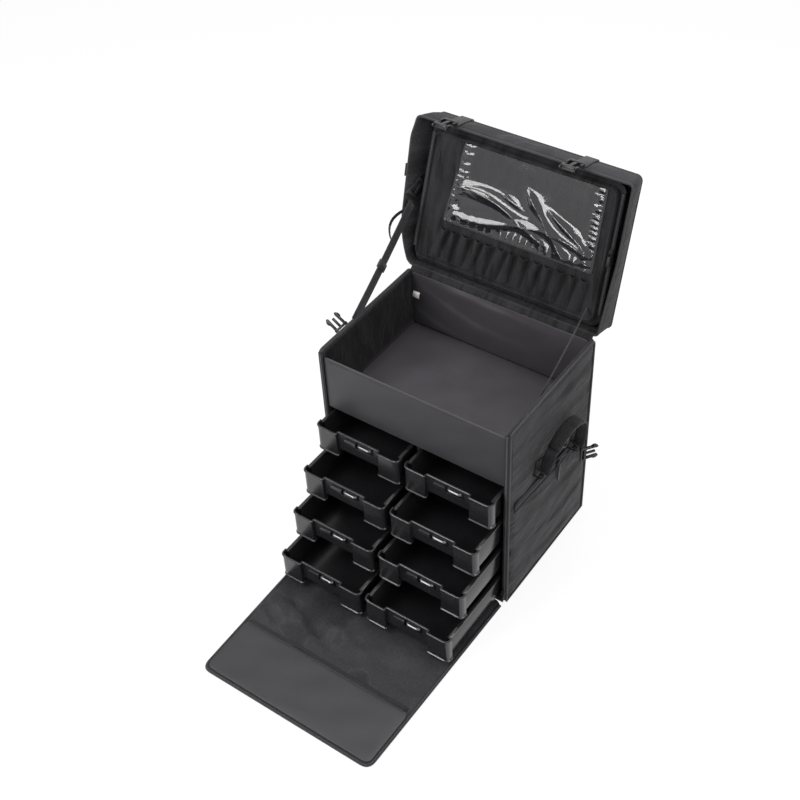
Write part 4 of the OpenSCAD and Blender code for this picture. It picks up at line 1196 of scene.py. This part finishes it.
    @staticmethod
    def gather(u, v):
        """Puckers where the film is sewn to its binding, deepest along the foot."""
        by_side = smooth_step((abs(u) - 0.80) / 0.18)
        by_foot = smooth_step((-v - 0.58) / 0.36)
        side = by_side * math.sin(38 * v + 3 * math.sin(5 * v))
        foot = by_foot * math.sin(56 * u + 5 * math.sin(3.1 * u) + 2 * v)
        return 0.8 * (1 + side) * by_side + (1.1 + foot) * by_foot

    @staticmethod
    def strip_lift(part, up):
        """Height of a brush slot's strip across its width: it rises slowly and ends in a sharp fold."""
        fold = smooth_step(part / 0.75) * (1 - smooth_step((part - 0.8) / 0.2))
        arch = fold + 0.35 * math.sin(math.pi * part)
        return 1.4 + STRIP_RISE * arch * (0.3 + 0.7 * up)

    def brushes(self):
        """A slack strip for each brush slot, over a dark backing sheet whose colour paints the shade in the
        slits between the strips.
        """
        strips, bound, backing = Shape(), Shape(), Shape()
        pitch = BRUSH_WIDE / BRUSH_COUNT
        ups = [j / 10 for j in range(11)]
        parts = [i / 9 for i in range(10)]

        def spot(phase, up, lift):
            lean = (BRUSH_LEAN - 5 * phase / BRUSH_COUNT + 2.4 * math.sin(phase * 2.4)) * up
            x = BRUSH_X0 + pitch * phase + lean
            return lid_point(x, BRUSH_R0 + BRUSH_LONG * up, PANEL_AT - lift)

        along = [BRUSH_LONG * up for up in ups]
        for slot in range(BRUSH_COUNT):
            rows = []
            for up in ups:
                slit = 0.04 + 0.2 * up
                rows.append([spot(slot + slit + (1 - slit) * part, up, self.strip_lift(part, up))
                             for part in parts])
            strips.grid(rows, along, [pitch * (slot + part) for part in parts])
            tube(bound, rows[-1], 0.9, 6)
        strips.piece("brush_slots", "lining_fabric", "lid", "lining", ["brush_band"])
        phases = range(BRUSH_COUNT + 1)
        rows = [[spot(phase, up, 1.1) for phase in phases] for up in ups]
        # Dark backing under the strips: painted shade showing through the slits.
        backing.grid(rows, along, [pitch * phase for phase in phases])
        backing.piece("brush_backing_slot_shade", "inner_lining", "lid", "lining")
        tube(bound, [spot(phase, 0, 1.4) for phase in phases], 1.3, 6)
        bound.piece("brush_slot_edges", "lining_fabric", "lid", "trim")


# Buckles and straps

BUCKLE_HALF = 15.0
BUCKLE_T = 8.0
SOCKET_LONG = 38.0
PLUG_LONG = 36.0
WEBBING_W = 24.0
WEBBING_T = 1.6
FRONT_BUCKLES = (-142.0, 102.0)
SOCKET_BELOW = 40.0
STRAP_REACH = 80.0
SIDE_STRAP_R = 176.0
SIDE_LEAN = math.atan2(FLARE_LEFT, LID_WALL_DEEP + 1.7)
SIDE_SOCKET = (LID_TURN @ Matrix.Translation((-LID_X - FLARE_LEFT + 4, -143, -0.7))
               @ Matrix.Rotation(math.pi / 2 + SIDE_LEAN, 4, "Y") @ Matrix.Translation((-22, 0, 1.2))
               @ Matrix.Rotation(math.radians(-38), 4, "Z") @ Matrix.Translation((0, -19, 0)))


def socket_buckle(shape, place):
    """Socket half: waisted body with raised rails, windows and a strap bar; its mouth is at local y 0."""
    half = BUCKLE_HALF
    right = [(11.5, 0), (14, 2), (half, 7), (half, 10), (11.6, 13), (11.2, 18), (half, 22), (half, 33),
             (12, SOCKET_LONG)]
    moulded(shape, place, right + [(-x, y) for x, y in reversed(right)], 0, 3.2, 0.9)
    slab(shape, place, -11.5, 0.4, 11.5, 6.5, 2.4, BUCKLE_T, 1.0)
    slab(shape, place, -13.5, 30, 13.5, 37, 2.4, BUCKLE_T, 1.0)
    slab(shape, place, -3.4, 5, 3.4, 32, 2.4, BUCKLE_T - 0.8, 0.9)
    twin_slabs(shape, place, 10.6, 14.6, 2, 12, 2.4, BUCKLE_T - 0.5, 0.9)
    twin_slabs(shape, place, 10.6, 14.6, 21, 35, 2.4, BUCKLE_T - 0.5, 0.9)
    twin_slabs(shape, place, 11.4, 14.6, -3.0, 4, 1.5, BUCKLE_T - 2.5, 0.7)


def plug_buckle(shape, place):
    """Plug half: bar, two hooked prongs and a guide; its prongs point along local +y."""
    for y0, y1 in ((0, 3.2), (6.6, 11)):
        slab(shape, place, -BUCKLE_HALF, y0, BUCKLE_HALF, y1, 0.6, BUCKLE_T - 0.6, 1.0)
    twin_slabs(shape, place, 11.4, 15.0, 1, 9, 0.8, BUCKLE_T - 0.8, 0.8)
    prong = [(10.2, 10), (13.8, 10), (13.4, 22), (16.2, 27), (15.6, 31), (11.5, PLUG_LONG), (9.6, 33),
             (10.0, 22)]
    for outline in (prong, [(-x, y) for x, y in reversed(prong)]):
        moulded(shape, place, outline, 1.2, BUCKLE_T - 1.2, 0.8)
    slab(shape, place, -2, 10, 2, PLUG_LONG - 6, 2, BUCKLE_T - 2, 0.7)


class CASE_OT_lid_straps(PieceOperator, bpy.types.Operator):
    """Webbing over the lid with the socket halves of the buckles."""

    bl_idname = "rolling_case.lid_straps"
    bl_label = "Lid straps and sockets"

    def build(self):
        straps, sockets, rows = Shape(), Shape(), Shape()
        lift = WEBBING_T / 2 + 1.2
        over = LID_DEEP + lift + 1

        def strap(route, across):
            path = evenly(filleted(route, [0, 8, 4, 0]), 8)
            sweep(straps, path, flat_ring(WEBBING_W, WEBBING_T), across)

        face = LID_LONG + lift
        for x in FRONT_BUCKLES:
            path = ((face, -12), (face + 1.5, 26), (face, over), (LID_LONG - STRAP_REACH, over + 0.5))
            strap([lid_point(x, r, d) for r, d in path], RIGHT)
            mouth = lid_place(x, LID_LONG + WEBBING_T + 2, -SOCKET_BELOW)
            socket_buckle(sockets, mouth @ facing((0, 0, 0), RIGHT, UP))
        path = ((-LID_X - FLARE_LEFT - lift - 1, 2), (-LID_X - FLARE_LEFT / 2 - lift - 5, 26),
                (-LID_X - lift, over), (-LID_X + STRAP_REACH, over + 0.5))
        strap([lid_point(x, SIDE_STRAP_R, d) for x, d in path], LID_TURN.to_3x3() @ Vector(BACK))
        socket_buckle(sockets, SIDE_SOCKET)
        straps.piece("lid_webbing", "ribbed_webbing", "lid", "webbing", ["lid_straps"])
        sockets.piece("lid_sockets", "buckle_plastic", "lid", "buckle", ["lid_buckles"], sharp=42)
        up = LID_TURN.to_3x3() @ Vector(UP)
        for x in FRONT_BUCKLES:
            for r in (LID_LONG - 76, LID_LONG - 56):
                ends = [lid_point(x + s * 9, r, LID_DEEP + lift + 2.6) for s in (-1, 1)]
                stitches(rows, ends, up, margin=0)
        rows.piece("lid_webbing_stitches", "ribbed_webbing", "lid", "trim")


PLUG_RUN = 14.0
STAY_SAG = 3.0
LEFT_PLUG = Vector((-CASE_X - 2, FRONT_Y + 88, TOP_Z - 32))
LEFT_TURN = math.radians(57)
RIGHT_PLUG = Vector((CASE_X + 5, BACK_Y - 60, 194.0))
RIGHT_TURN = math.radians(35)


class CASE_OT_side_straps(PieceOperator, bpy.types.Operator):
    """Webbing on the side walls with the plug halves of the buckles, and the two lid stays."""

    bl_idname = "rolling_case.side_straps"
    bl_label = "Side straps and stays"

    def build(self):
        straps, plugs = Shape(), Shape()
        left = Vector((-math.sin(LEFT_TURN), 0, math.cos(LEFT_TURN)))
        right = Vector((math.sin(RIGHT_TURN), math.cos(RIGHT_TURN), 0))
        for root, reach, flat, across in ((LEFT_PLUG, left, (0, 0, 22), BACK),
                                          (RIGHT_PLUG, right, (0, 22, 0), UP)):
            route = [root - Vector(flat), root, root + reach * (PLUG_RUN + 4)]
            sweep(straps, evenly(filleted(route, 6), 8), flat_ring(WEBBING_W, WEBBING_T), across)
            place = facing(root + reach * PLUG_RUN, across, reach)
            plug_buckle(plugs, place @ Matrix.Translation((0, 0, -BUCKLE_T / 2)))
        straps.piece("side_webbing", "ribbed_webbing", "case", "webbing", ["side_straps"])
        plugs.piece("plug_buckles", "buckle_plastic", "case", "buckle", ["male_buckles"], sharp=42)
        self.stays()

    def stays(self):
        """Webbing stay on the left and a narrow ribbon on the right, each from wall to lid."""
        start = Vector((-CASE_X - 1.2, -36, TOP_Z - 6))
        end = lid_point(-LID_X - 10, 119, 4)
        stay, flat = self.hung(start, end, flat_ring(WEBBING_W, WEBBING_T))
        keeper = [start.lerp(end, share) - Vector((0, 0, 3)) for share in (0.44, 0.5)]
        sweep(stay, keeper, flat_ring(WEBBING_W + 5, 6), flat)
        loose = [start.lerp(end, 0.66 + 0.03 * k) - Vector((22 * math.sin(math.pi * k / 10) ** 0.8, 0, 2))
                 for k in range(11)]
        sweep(stay, loose, flat_ring(9, 1.2), flat)
        made = stay.piece("left_stay", "ribbed_webbing", None, "webbing", ["stay_straps"])
        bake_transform(made)
        start = Vector((INNER_X - 1.0, -45, TOP_Z - 12))
        end = lid_point(163, 45, PANEL_AT - 2.5)
        ribbon, flat = self.hung(start, end, flat_ring(6, 0.9))
        made = ribbon.piece("right_ribbon", "ribbed_webbing", None, "webbing")
        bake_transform(made)

    @staticmethod
    def hung(start, end, section):
        """A band that sags a little from start to end, and the direction of its width."""
        band = Shape()
        count = 14
        points = [start.lerp(end, k / count) - Vector((0, 0, STAY_SAG * math.sin(math.pi * k / count)))
                  for k in range(count + 1)]
        flat = (end - start).cross(Vector(RIGHT)).normalized()
        sweep(band, points, section, flat)
        return band, flat


# Flap

class CASE_OT_flap(PieceOperator, bpy.types.Operator):
    """Drop-down front flap with its smooth pocket, hem, zip tape and stitches."""

    bl_idname = "rolling_case.flap"
    bl_label = "Front flap"

    def build(self):
        self.low, self.high = low, high = node_box("flap_panel")
        centre, half = node_middle("flap_panel")
        mouth = node_box("flap_pocket")[1].y - centre.y
        drawer_reach = JOINTS["left_drawer_4_slide"]["range_m"][1] / MM
        stop = node_box("drawer_left_4")[0].y - drawer_reach - centre.y

        def folds(x, y):
            near = smooth_step((y - mouth) / 30)
            clear = smooth_step((stop - y) / 24)
            creases = near * clear * 1.9 * sag(x * 0.7, y + 0.35 * x, 3.0)
            return 0.5 + near * (0.7 + 1.5 * clear) * ripple(x, y, 7.0) + creases

        panel = Shape()
        pad(panel, facing(centre, RIGHT, BACK), (half.x, half.y), 2 * half.z, corner=16, edge=2.5, step=7,
            soft=4, front=folds, cut=self.narrowed(centre))
        panel.piece("flap_fabric", "shell_fabric", "flap", "shell", ["flap_panel"])
        self.pocket(high.z)
        self.binding(low, high)

    def drawn_in(self, x, y):
        """Across the flap, which narrows a little towards its front edge."""
        front = (self.high.y - y) / (self.high.y - self.low.y)
        right = (x - self.low.x) / (self.high.x - self.low.x)
        return x + front * (10 * (1 - right) - 5 * right)

    def narrowed(self, centre):
        """The plan of a panel with that centre, narrowed as the flap is."""
        return lambda x, y: (self.drawn_in(centre.x + x, centre.y + y) - centre.x, y)

    def pocket(self, top):
        low, high = node_box("flap_pocket")
        centre, half = node_middle("flap_pocket")
        pocket, hem, rows = Shape(), Shape(), Shape()
        pad(pocket, facing(centre, RIGHT, BACK), (half.x + 6, half.y), 2.4, corner=11, edge=1.2, step=8,
            soft=8, front=lambda x, y: 0.5 + 0.8 * ripple(x * 0.8, y * 0.8, 9.0), cut=self.narrowed(centre))
        pocket.piece("flap_pocket_fabric", "pocket_satin", "flap", "satin", ["flap_pocket"])
        edge = high.y
        path = [Vector((self.drawn_in(x, edge), edge + 0.8 + 1.6 * ripple(x, 0, 3.0), top + 2.0))
                for x in range(int(low.x) - 2, int(high.x) + 3, 8)]
        tube(hem, path, 1.5)
        # A thin dark strip lying flat just beyond the pocket's edge: painted shadow of the pocket's mouth. The
        # cord above it is the real hem.
        sweep(hem, [p + Vector((0, 3.6, -0.9)) for p in path], flat_ring(1.0, 5.0), UP)
        hem.piece("flap_pocket_hem_and_mouth_shade", "zip_tape", "flap", "satin")
        stitches(rows, [p + Vector((0, -5, 1.4)) for p in path], UP)
        rows.piece("flap_stitches", "ribbed_webbing", "flap", "trim")

    def binding(self, low, high):
        tape, rows, cords = Shape(), Shape(), Shape()

        def rim(inset, z, round_off):
            route = [(low.x + inset, high.y - 8, z), (low.x + inset, low.y + inset, z),
                     (high.x - inset, low.y + inset, z), (high.x - inset, high.y - 8, z)]
            path = evenly(filleted(route, [0, round_off, round_off, 0]), 10)
            return [Vector((self.drawn_in(p.x, p.y), p.y, p.z)) for p in path]

        sweep(tape, rim(2.6, high.z + 0.2, 15), flat_ring(1.6, 5.0), UP)
        tape.piece("flap_tape", "zip_tape", "flap", "zip", ["flap_binding"])
        tube(cords, rim(0.6, 3.2, 17), 2.0)
        cords.piece("flap_cord", "ribbed_webbing", "flap", "trim")
        teeth(rows, rim(1.6, high.z + 0.4, 16), UP, 3.0)
        rows.piece("flap_teeth", "zip_teeth", "flap", "zip")


# Zips and the right side

SLIDER_PLAN = [(-3.6, -5), (3.6, -5), (4.4, 0), (2.6, 6), (-2.6, 6), (-4.4, 0)]
SLIDER_THICK = 3.2


def slider(shape, place, pull_long, pull_low):
    """A zip slider with its bridge and tab: local y runs along the zip, z out, and the tab hangs along -y."""
    moulded(shape, place, SLIDER_PLAN, 0, SLIDER_THICK, 0.9)
    arch = [place @ Vector(p) for p in ((0, -3.4, 2.6), (0, -3.0, 4.8), (0, 3.0, 4.8), (0, 4.4, 2.6))]
    tube(shape, filleted(arch, [0, 1.5, 1.5, 0], steps=3), 0.9, 6)
    ring = [place @ Vector((x, y, pull_low)) for x, y in ((0, 2), (-2.6, 0), (-2.6, -6), (2.6, -6), (2.6, 0))]
    tube(shape, filleted(ring, 1.6, True, 3), 0.8, 6, True)
    tab = place @ Matrix.Translation((0, -pull_long / 2 - 5, 0))
    moulded(shape, tab, round_outline(3.0, pull_long / 2, 2.6, 4), pull_low - 0.8, pull_low + 0.8, 0.5)


class CASE_OT_zips(PieceOperator, bpy.types.Operator):
    """Zip tapes and teeth of the case's front edges, with the sliders there and in the lid."""

    bl_idname = "rolling_case.zips"
    bl_label = "Zips"

    def build(self):
        tape, rows = Shape(), Shape()
        low, high = node_box("front_zip_tape")
        x = CASE_X - WALL / 2
        y = FRONT_Y - 1.4
        for side in (-1, 1):
            path = evenly([(side * x, y, low.z), (side * x, y, high.z)], 14)
            sweep(tape, path, flat_ring(9, 1.6), RIGHT)
            teeth(rows, [p + Vector((0, -0.6, 0)) for p in path], FRONT)
        zip_pieces("front", tape, rows, "case", ["front_zip_tape"])
        for side, name in ((-1, "left"), (1, "right")):
            low, high = node_box(f"zip_slider_{name}")
            made = Shape()
            place = facing((side * x, high.y, high.z - 6), RIGHT, UP)
            slider(made, place, high.z - low.z - 15, 5.6)
            made.piece(f"front_slider_{name}_metal", "dark_metal", f"front_slider_{name}", "slider",
                       [f"zip_slider_{name}"], sharp=45)
        made = Shape()
        place = lid_place(PANEL_HALF_X + LINING_MARGIN / 2, 152, LINING_AT - 2.2)
        slider(made, place @ facing((0, 0, 0), RIGHT, FRONT), 20, 5.4)
        made.piece("lid_slider_metal", "dark_metal", "lid_slider", "slider", ["lid_zip_slider"], sharp=45)


POCKET_TILT = math.radians(5)
POCKET_ZIP_Z = 230.0
POCKET_NET = (40, 44)
POCKET_BELOW_ZIP = 7.0
POCKET_EDGE = 4.0
POCKET_BULGE = 3.4
POCKET_SLIDER_Y = 22.0
HANDLE_SPAN = 124.0
HANDLE_RISE = 78.0
HANDLE_PIN = Vector(JOINTS["carry_handle_hinge"]["pos_m"]) / MM
HANDLE_LEAN = math.radians(6)
HANDLE_TILT = math.radians(16)
HANDLE_BAND = (2.2, 10.8)
HANDLE_SLEEVE = (5.2, 11.8)
TAB_WIDE = 28.0
TAB_HOOP = 12.8
TAB_PIN_R = 3.4
SLEEVE_FROM = 0.40
SLEEVE_TO = 0.79
RING_AT = Vector(JOINTS["ring_hinge"]["pos_m"]) / MM
RING_BOW = 12.0


class CASE_OT_right_side(PieceOperator, bpy.types.Operator):
    """Side pocket with its zip, the padded carry handle, its tabs and the ring."""

    bl_idname = "rolling_case.right_side"
    bl_label = "Side pocket and handle"

    def build(self):
        self.pocket()
        self.zip()
        self.handle()
        self.ring()

    def pocket(self):
        """A pocket panel whose upper edge follows the slanting zip."""
        low, high = node_box("side_pocket")
        half = (high.y - low.y) / 2
        pocket = Shape()

        def spot(u, v, raised):
            y = half * u
            tall = POCKET_ZIP_Z - math.tan(POCKET_TILT) * y - POCKET_BELOW_ZIP - low.z
            z = low.z + tall * v
            inset = min((1 - abs(u)) * half, v * tall, (1 - v) * tall)
            share = min(inset / POCKET_EDGE, 1.0)
            swell = POCKET_BULGE * math.cos(u * 1.45) * math.sin(math.pi * v)
            swell += 1.1 * ripple(y, z, 8.0) + 0.8 * sag(y, z, 2.0)
            rise = 1.0 + 2.2 * math.sqrt(1 - (1 - share) ** 2) + swell * smooth_step(inset / 22)
            return Vector((CASE_X + 0.5 + (rise if raised else 0), y, z))

        us = span(POCKET_NET[0])
        vs = [j / POCKET_NET[1] for j in range(POCKET_NET[1] + 1)]
        for raised in (True, False):
            rows = [[spot(u, v, raised) for u in us] for v in vs]
            heights = [low.z + (high.z - low.z) * v for v in vs]
            pocket.grid(rows, heights, [half * u for u in us], flip=not raised)
        pocket.piece("side_pocket_fabric", "shell_fabric", "case", "shell", ["side_pocket"])

    def zip(self):
        low, high = node_box("pocket_zip")
        tape, rows = Shape(), Shape()
        turn = Matrix.Translation((CASE_X, 0, POCKET_ZIP_Z)) @ Matrix.Rotation(-POCKET_TILT, 4, "X")
        path = evenly([turn @ Vector((2.4, low.y + 1, 0)), turn @ Vector((2.4, high.y - 1, 0))], 12)
        sweep(tape, path, flat_ring(20, 1.8), turn.to_3x3() @ Vector(UP))
        teeth(rows, [p + Vector((0.6, 0, 0)) for p in path], RIGHT, 3.2)
        welts = Shape()
        for z in (-9.4, 9.4):
            tube(welts, [p + turn.to_3x3() @ Vector((0.9, 0, z)) for p in path], 1.5)
        welts.piece("pocket_welts", "shell_fabric", "case", "trim")
        zip_pieces("pocket", tape, rows, "case", ["pocket_zip"])
        made = Shape()
        at = POCKET_SLIDER_Y
        place = turn @ facing((4.0, at, 0), UP, FRONT)
        moulded(made, place, SLIDER_PLAN, 0, SLIDER_THICK, 0.9)
        hang = turn @ facing((9.0, at, 1), BACK, UP)
        moulded(made, hang @ Matrix.Translation((0, -20, 0)), round_outline(3.2, 19, 2.6, 4), -0.8, 0.8, 0.5)
        link = ((6.5, 2.5), (9.0, 3.0), (9.4, -1), (8.6, -4))
        tube(made, [turn @ Vector((out, at, up)) for out, up in link], 0.9, 6)
        made.piece("pocket_slider_metal", "dark_metal", "pocket_slider", "slider", ["pocket_zip_slider"],
                   sharp=45)

    def handle(self):
        """Webbing arch, wrapped by a dark padded sleeve at its top."""
        seat = Matrix.Translation(HANDLE_PIN) @ Matrix.Rotation(-HANDLE_TILT, 4, "X")
        turn = seat @ Matrix.Rotation(HANDLE_LEAN, 4, "Y")
        bow = HANDLE_SPAN / 2
        leg = HANDLE_RISE - bow
        arc = [(0, bow * math.cos(a), leg + bow * math.sin(a)) for a in (math.pi * k / 22 for k in range(23))]
        route = [(0, bow, -2), (0, bow, leg * 0.5), *arc, (0, -bow, leg * 0.5), (0, -bow, -2)]
        path = evenly([turn @ Vector(p) for p in route], 7)
        total = lengths(path)

        def section(half_t, half_w):
            return [(half_t * math.copysign(abs(math.cos(a)) ** 0.6, math.cos(a)),
                     half_w * math.copysign(abs(math.sin(a)) ** 0.5, math.sin(a)))
                    for a in (2 * math.pi * k / 16 for k in range(16))]

        band, sleeve = Shape(), Shape()
        outwards = turn.to_3x3() @ Vector(RIGHT)
        sweep(band, path, section(*HANDLE_BAND), outwards)
        band.piece("handle_webbing", "shell_fabric", "handle", "webbing", ["carry_handle"])
        middle = [p for p, at in zip(path, total) if SLEEVE_FROM < at / total[-1] < SLEEVE_TO]
        sweep(sleeve, middle, section(*HANDLE_SLEEVE), outwards)
        sleeve.piece("handle_sleeve", "sleeve_fabric", "handle", "webbing")
        tabs, rows = Shape(), Shape()
        wall = CASE_X - HANDLE_PIN.x
        along = seat.to_3x3() @ Vector(BACK)
        for s in (-1, 1):
            eye = seat @ Matrix.Translation((0, s * bow, 0))
            loop = [eye @ Vector((wall + 1.2, 0, z)) for z in (-9, 22)]
            sweep(tabs, evenly(loop, 6), flat_ring(TAB_WIDE, 2.2), along)
            wrap = [(wall + 2, 0, -5), (3, 0, -6), (7, 0, 1), (3, 0, 6), (wall + 2, 0, 12)]
            for side in (-TAB_HOOP, TAB_HOOP):
                hoop = [eye @ (p + Vector((0, side, 0))) for p in filleted(wrap, [0, 4, 4, 4, 0])]
                sweep(tabs, hoop, flat_ring(3.2, 1.6), along)
            tube(tabs, [eye @ Vector((0, y, 0)) for y in (-TAB_WIDE / 2, TAB_WIDE / 2)], TAB_PIN_R, 14)
            for z in (-6, 18):
                stitches(rows, [eye @ Vector((wall + 2.4, y, z)) for y in (-12, 12)], RIGHT)
        tabs.piece("handle_end_webbing", "sleeve_fabric", "case", "webbing", ["handle_tabs"])
        rows.piece("handle_stitches", "ribbed_webbing", "case", "trim")

    def ring(self):
        made, tab = Shape(), Shape()
        angles = [math.pi * k / 16 for k in range(17)]
        path = [RING_AT + Vector((0, RING_BOW * math.cos(a), -RING_BOW * math.sin(a))) for a in angles]
        tube(made, path, 2.0, 10, True)
        made.piece("ring_wire", "buckle_plastic", "ring", "buckle", ["handle_ring"])
        wrap = [RING_AT + Vector((x, 0, z))
                for x, z in ((-3.6, 24), (-3.6, -2), (0, -4.0), (3.2, 0), (1, 6), (-2.4, 22))]
        sweep(tab, filleted(wrap, [0, 3, 3, 3, 3, 0]), flat_ring(14, 1.4), BACK)
        tab.piece("ring_webbing", "ribbed_webbing", "case", "webbing", ["ring_tab"])


# Left side

class CASE_OT_trolley(PieceOperator, bpy.types.Operator):
    """Pull handle and wheels on the left: CAD shapes with drawn, moulded and rubber finishes."""

    bl_idname = "rolling_case.trolley"
    bl_label = "Pull handle and wheels"

    def build(self):
        for node in ("trolley_tubes", "stage_tubes", "handle_rods"):
            dress(node, "drawn_aluminium")
        for node in ("trolley_base", "trolley_collar", "trolley_grip", "grip_button", "wheel_housings",
                     "wheel_hub_front", "wheel_hub_rear"):
            dress(node, "moulded_plastic")
        for node in ("tyre_front", "tyre_rear"):
            dress(node, "tyre_rubber")
        dress("wheel_axles", "turned_steel")
        self.grip_ribs()
        self.screws()

    def grip_ribs(self):
        """Soft finger ribs under the grip's outer face."""
        low, high = node_box("trolley_grip")
        ribs = Shape()
        place = facing((low.x, (low.y + high.y) / 2, low.z + 10), FRONT, UP)
        for k in range(-4, 5):
            slab(ribs, place, k * 9 - 2.2, -5, k * 9 + 2.2, 5, -0.4, 1.2, 0.6)
        ribs.piece("grip_ribs", "tyre_rubber", "trolley_handle", "moulding", sharp=40)

    def screws(self):
        """Domed screw heads on the bracket and collar."""
        heads = Shape()
        for node in ("trolley_base", "trolley_collar"):
            low, high = node_box(node)
            for y in (low.y + 34, high.y - 34):
                place = facing((low.x, y, (low.z + high.z) / 2), FRONT, UP)
                moulded(heads, place, round_outline(3.6, 3.6, 3.5, 4), -0.4, 1.6, 0.8)
        heads.piece("screw_heads", "dark_metal", "case", "moulding", sharp=40)


# Studio

CAMERA_AT = Vector((917.4, -1375.1, 1856.6))
CAMERA_AZ = math.radians(37.24)
CAMERA_EL = math.radians(43.22)
CAMERA_ROLL = math.radians(-3.28)
CAMERA_LENS = 57.57
FLOOR_REACH = 12.0
FLOOR_DROP = 0.0006
FLOOR_WHITE = 0.88
SKY_LIGHT = 0.46
WHITE = (1.0, 1.0, 1.0, 1.0)
LIGHTS = (
    ("key_light", (-1.3, -1.5, 2.4), (0, 0, 0.3), 1.5, 62),
    ("side_light", (2.3, -0.6, 1.8), (0.1, 0, 0.3), 1.4, 34),
    ("top_light", (0.2, 0.7, 2.8), (0, -0.1, 0.2), 1.6, 46),
    ("front_light", (-0.7, -2.6, 0.9), (0, 0.1, 0.5), 0.9, 26),
)


class CASE_OT_stage(PieceOperator, bpy.types.Operator):
    """Pale floor, soft lights and the camera at the photograph's angle."""

    bl_idname = "rolling_case.stage"
    bl_label = "Studio"

    def build(self):
        bpy.context.scene.view_settings.view_transform = "Standard"
        self.floor()
        self.world()
        for name, at, aim, size, power in LIGHTS:
            self.light(name, Vector(at), Vector(aim), size, power)
        self.camera()

    def floor(self):
        made = Finish("studio_floor")
        surface = made.node("ShaderNodeBsdfPrincipled", inputs={
            "Base Color": (*colours().floor, 1.0), "Roughness": 0.9, "Specular IOR Level": 0.1})
        white = made.node("ShaderNodeEmission", inputs={"Color": WHITE, "Strength": 1.0})
        lit = FLOOR_WHITE * self.seen(made)
        made.show(made.node("ShaderNodeMixShader", inputs={0: lit, 1: surface, 2: white}))
        mesh = bpy.data.meshes.new("studio_floor")
        corners = [(FLOOR_REACH * x, FLOOR_REACH * y, 0) for x, y in ((-1, -1), (1, -1), (1, 1), (-1, 1))]
        mesh.from_pydata(corners, [], [(0, 1, 2, 3)])
        mesh.materials.append(made.material)
        floor = bpy.data.objects.new("studio_floor", mesh)
        floor.location.z = -FLOOR_DROP
        bpy.context.scene.collection.objects.link(floor)

    @staticmethod
    def seen(made):
        """One where the camera looks straight at a surface, or by a reflection or through a clear piece."""
        rays = [made.node("ShaderNodeLightPath", output=f"Is {kind} Ray")
                for kind in ("Camera", "Glossy", "Transmission")]
        return rays[0] + rays[1] + rays[2]

    def world(self):
        made = Finish("studio_world", bpy.data.worlds.new("studio_world"))
        sky = made.node("ShaderNodeBackground", inputs={
            "Color": WHITE, "Strength": SKY_LIGHT + (1 - SKY_LIGHT) * self.seen(made)})
        made.node("ShaderNodeOutputWorld", inputs={"Surface": sky})
        bpy.context.scene.world = made.material

    def light(self, name, at, aim, size, power):
        data = bpy.data.lights.new(name, "AREA")
        data.shape = "SQUARE"
        data.size = size
        data.energy = power
        lamp = bpy.data.objects.new(name, data)
        lamp.location = at
        lamp.rotation_euler = (aim - at).to_track_quat("-Z", "Y").to_euler()
        bpy.context.scene.collection.objects.link(lamp)

    def camera(self):
        data = bpy.data.cameras.new("photo_camera")
        data.sensor_width = 36.0
        data.lens = CAMERA_LENS
        camera = bpy.data.objects.new("photo_camera", data)
        back = Vector((math.sin(CAMERA_AZ) * math.cos(CAMERA_EL), -math.cos(CAMERA_AZ) * math.cos(CAMERA_EL),
                       math.sin(CAMERA_EL)))
        right = (-back).cross(Vector(UP)).normalized()
        up = right.cross(-back)
        turned = right * math.cos(CAMERA_ROLL) + up * math.sin(CAMERA_ROLL)
        level = up * math.cos(CAMERA_ROLL) - right * math.sin(CAMERA_ROLL)
        camera.matrix_world = (Matrix.Translation(CAMERA_AT * MM)
                               @ Matrix((turned, level, back)).transposed().to_4x4())
        bpy.context.scene.collection.objects.link(camera)
        bpy.context.scene.camera = camera


OPERATORS = (CASE_OT_walls, CASE_OT_base, CASE_OT_tray, CASE_OT_drawers, CASE_OT_lid_shell,
             CASE_OT_lid_inside, CASE_OT_lid_straps, CASE_OT_side_straps, CASE_OT_flap, CASE_OT_zips,
             CASE_OT_right_side, CASE_OT_trolley, CASE_OT_stage)


class CASE_PT_panel(bpy.types.Panel):
    """Lists the case's pieces, colours and sizes."""

    bl_label = "Rolling case"
    bl_idname = "CASE_PT_panel"
    bl_space_type = "VIEW_3D"
    bl_region_type = "UI"
    bl_category = "Rolling case"

    def draw(self, context):
        column = self.layout.column()
        for operator in OPERATORS:
            column.operator(operator.bl_idname)
        for group in (context.scene.case_colours, context.scene.case_sizes):
            for name in group.__annotations__:
                column.prop(group, name)


CLASSES = (CaseColours, CaseSizes, *OPERATORS, CASE_PT_panel)


def register():
    for item in CLASSES:
        bpy.utils.register_class(item)
    bpy.types.Scene.case_colours = bpy.props.PointerProperty(type=CaseColours)
    bpy.types.Scene.case_sizes = bpy.props.PointerProperty(type=CaseSizes)


def unregister():
    del bpy.types.Scene.case_sizes
    del bpy.types.Scene.case_colours
    for item in reversed(CLASSES):
        bpy.utils.unregister_class(item)


def main():
    register()
    for operator in OPERATORS:
        group, name = operator.bl_idname.split(".")
        getattr(getattr(bpy.ops, group), name)()


if __name__ == "__main__":
    main()
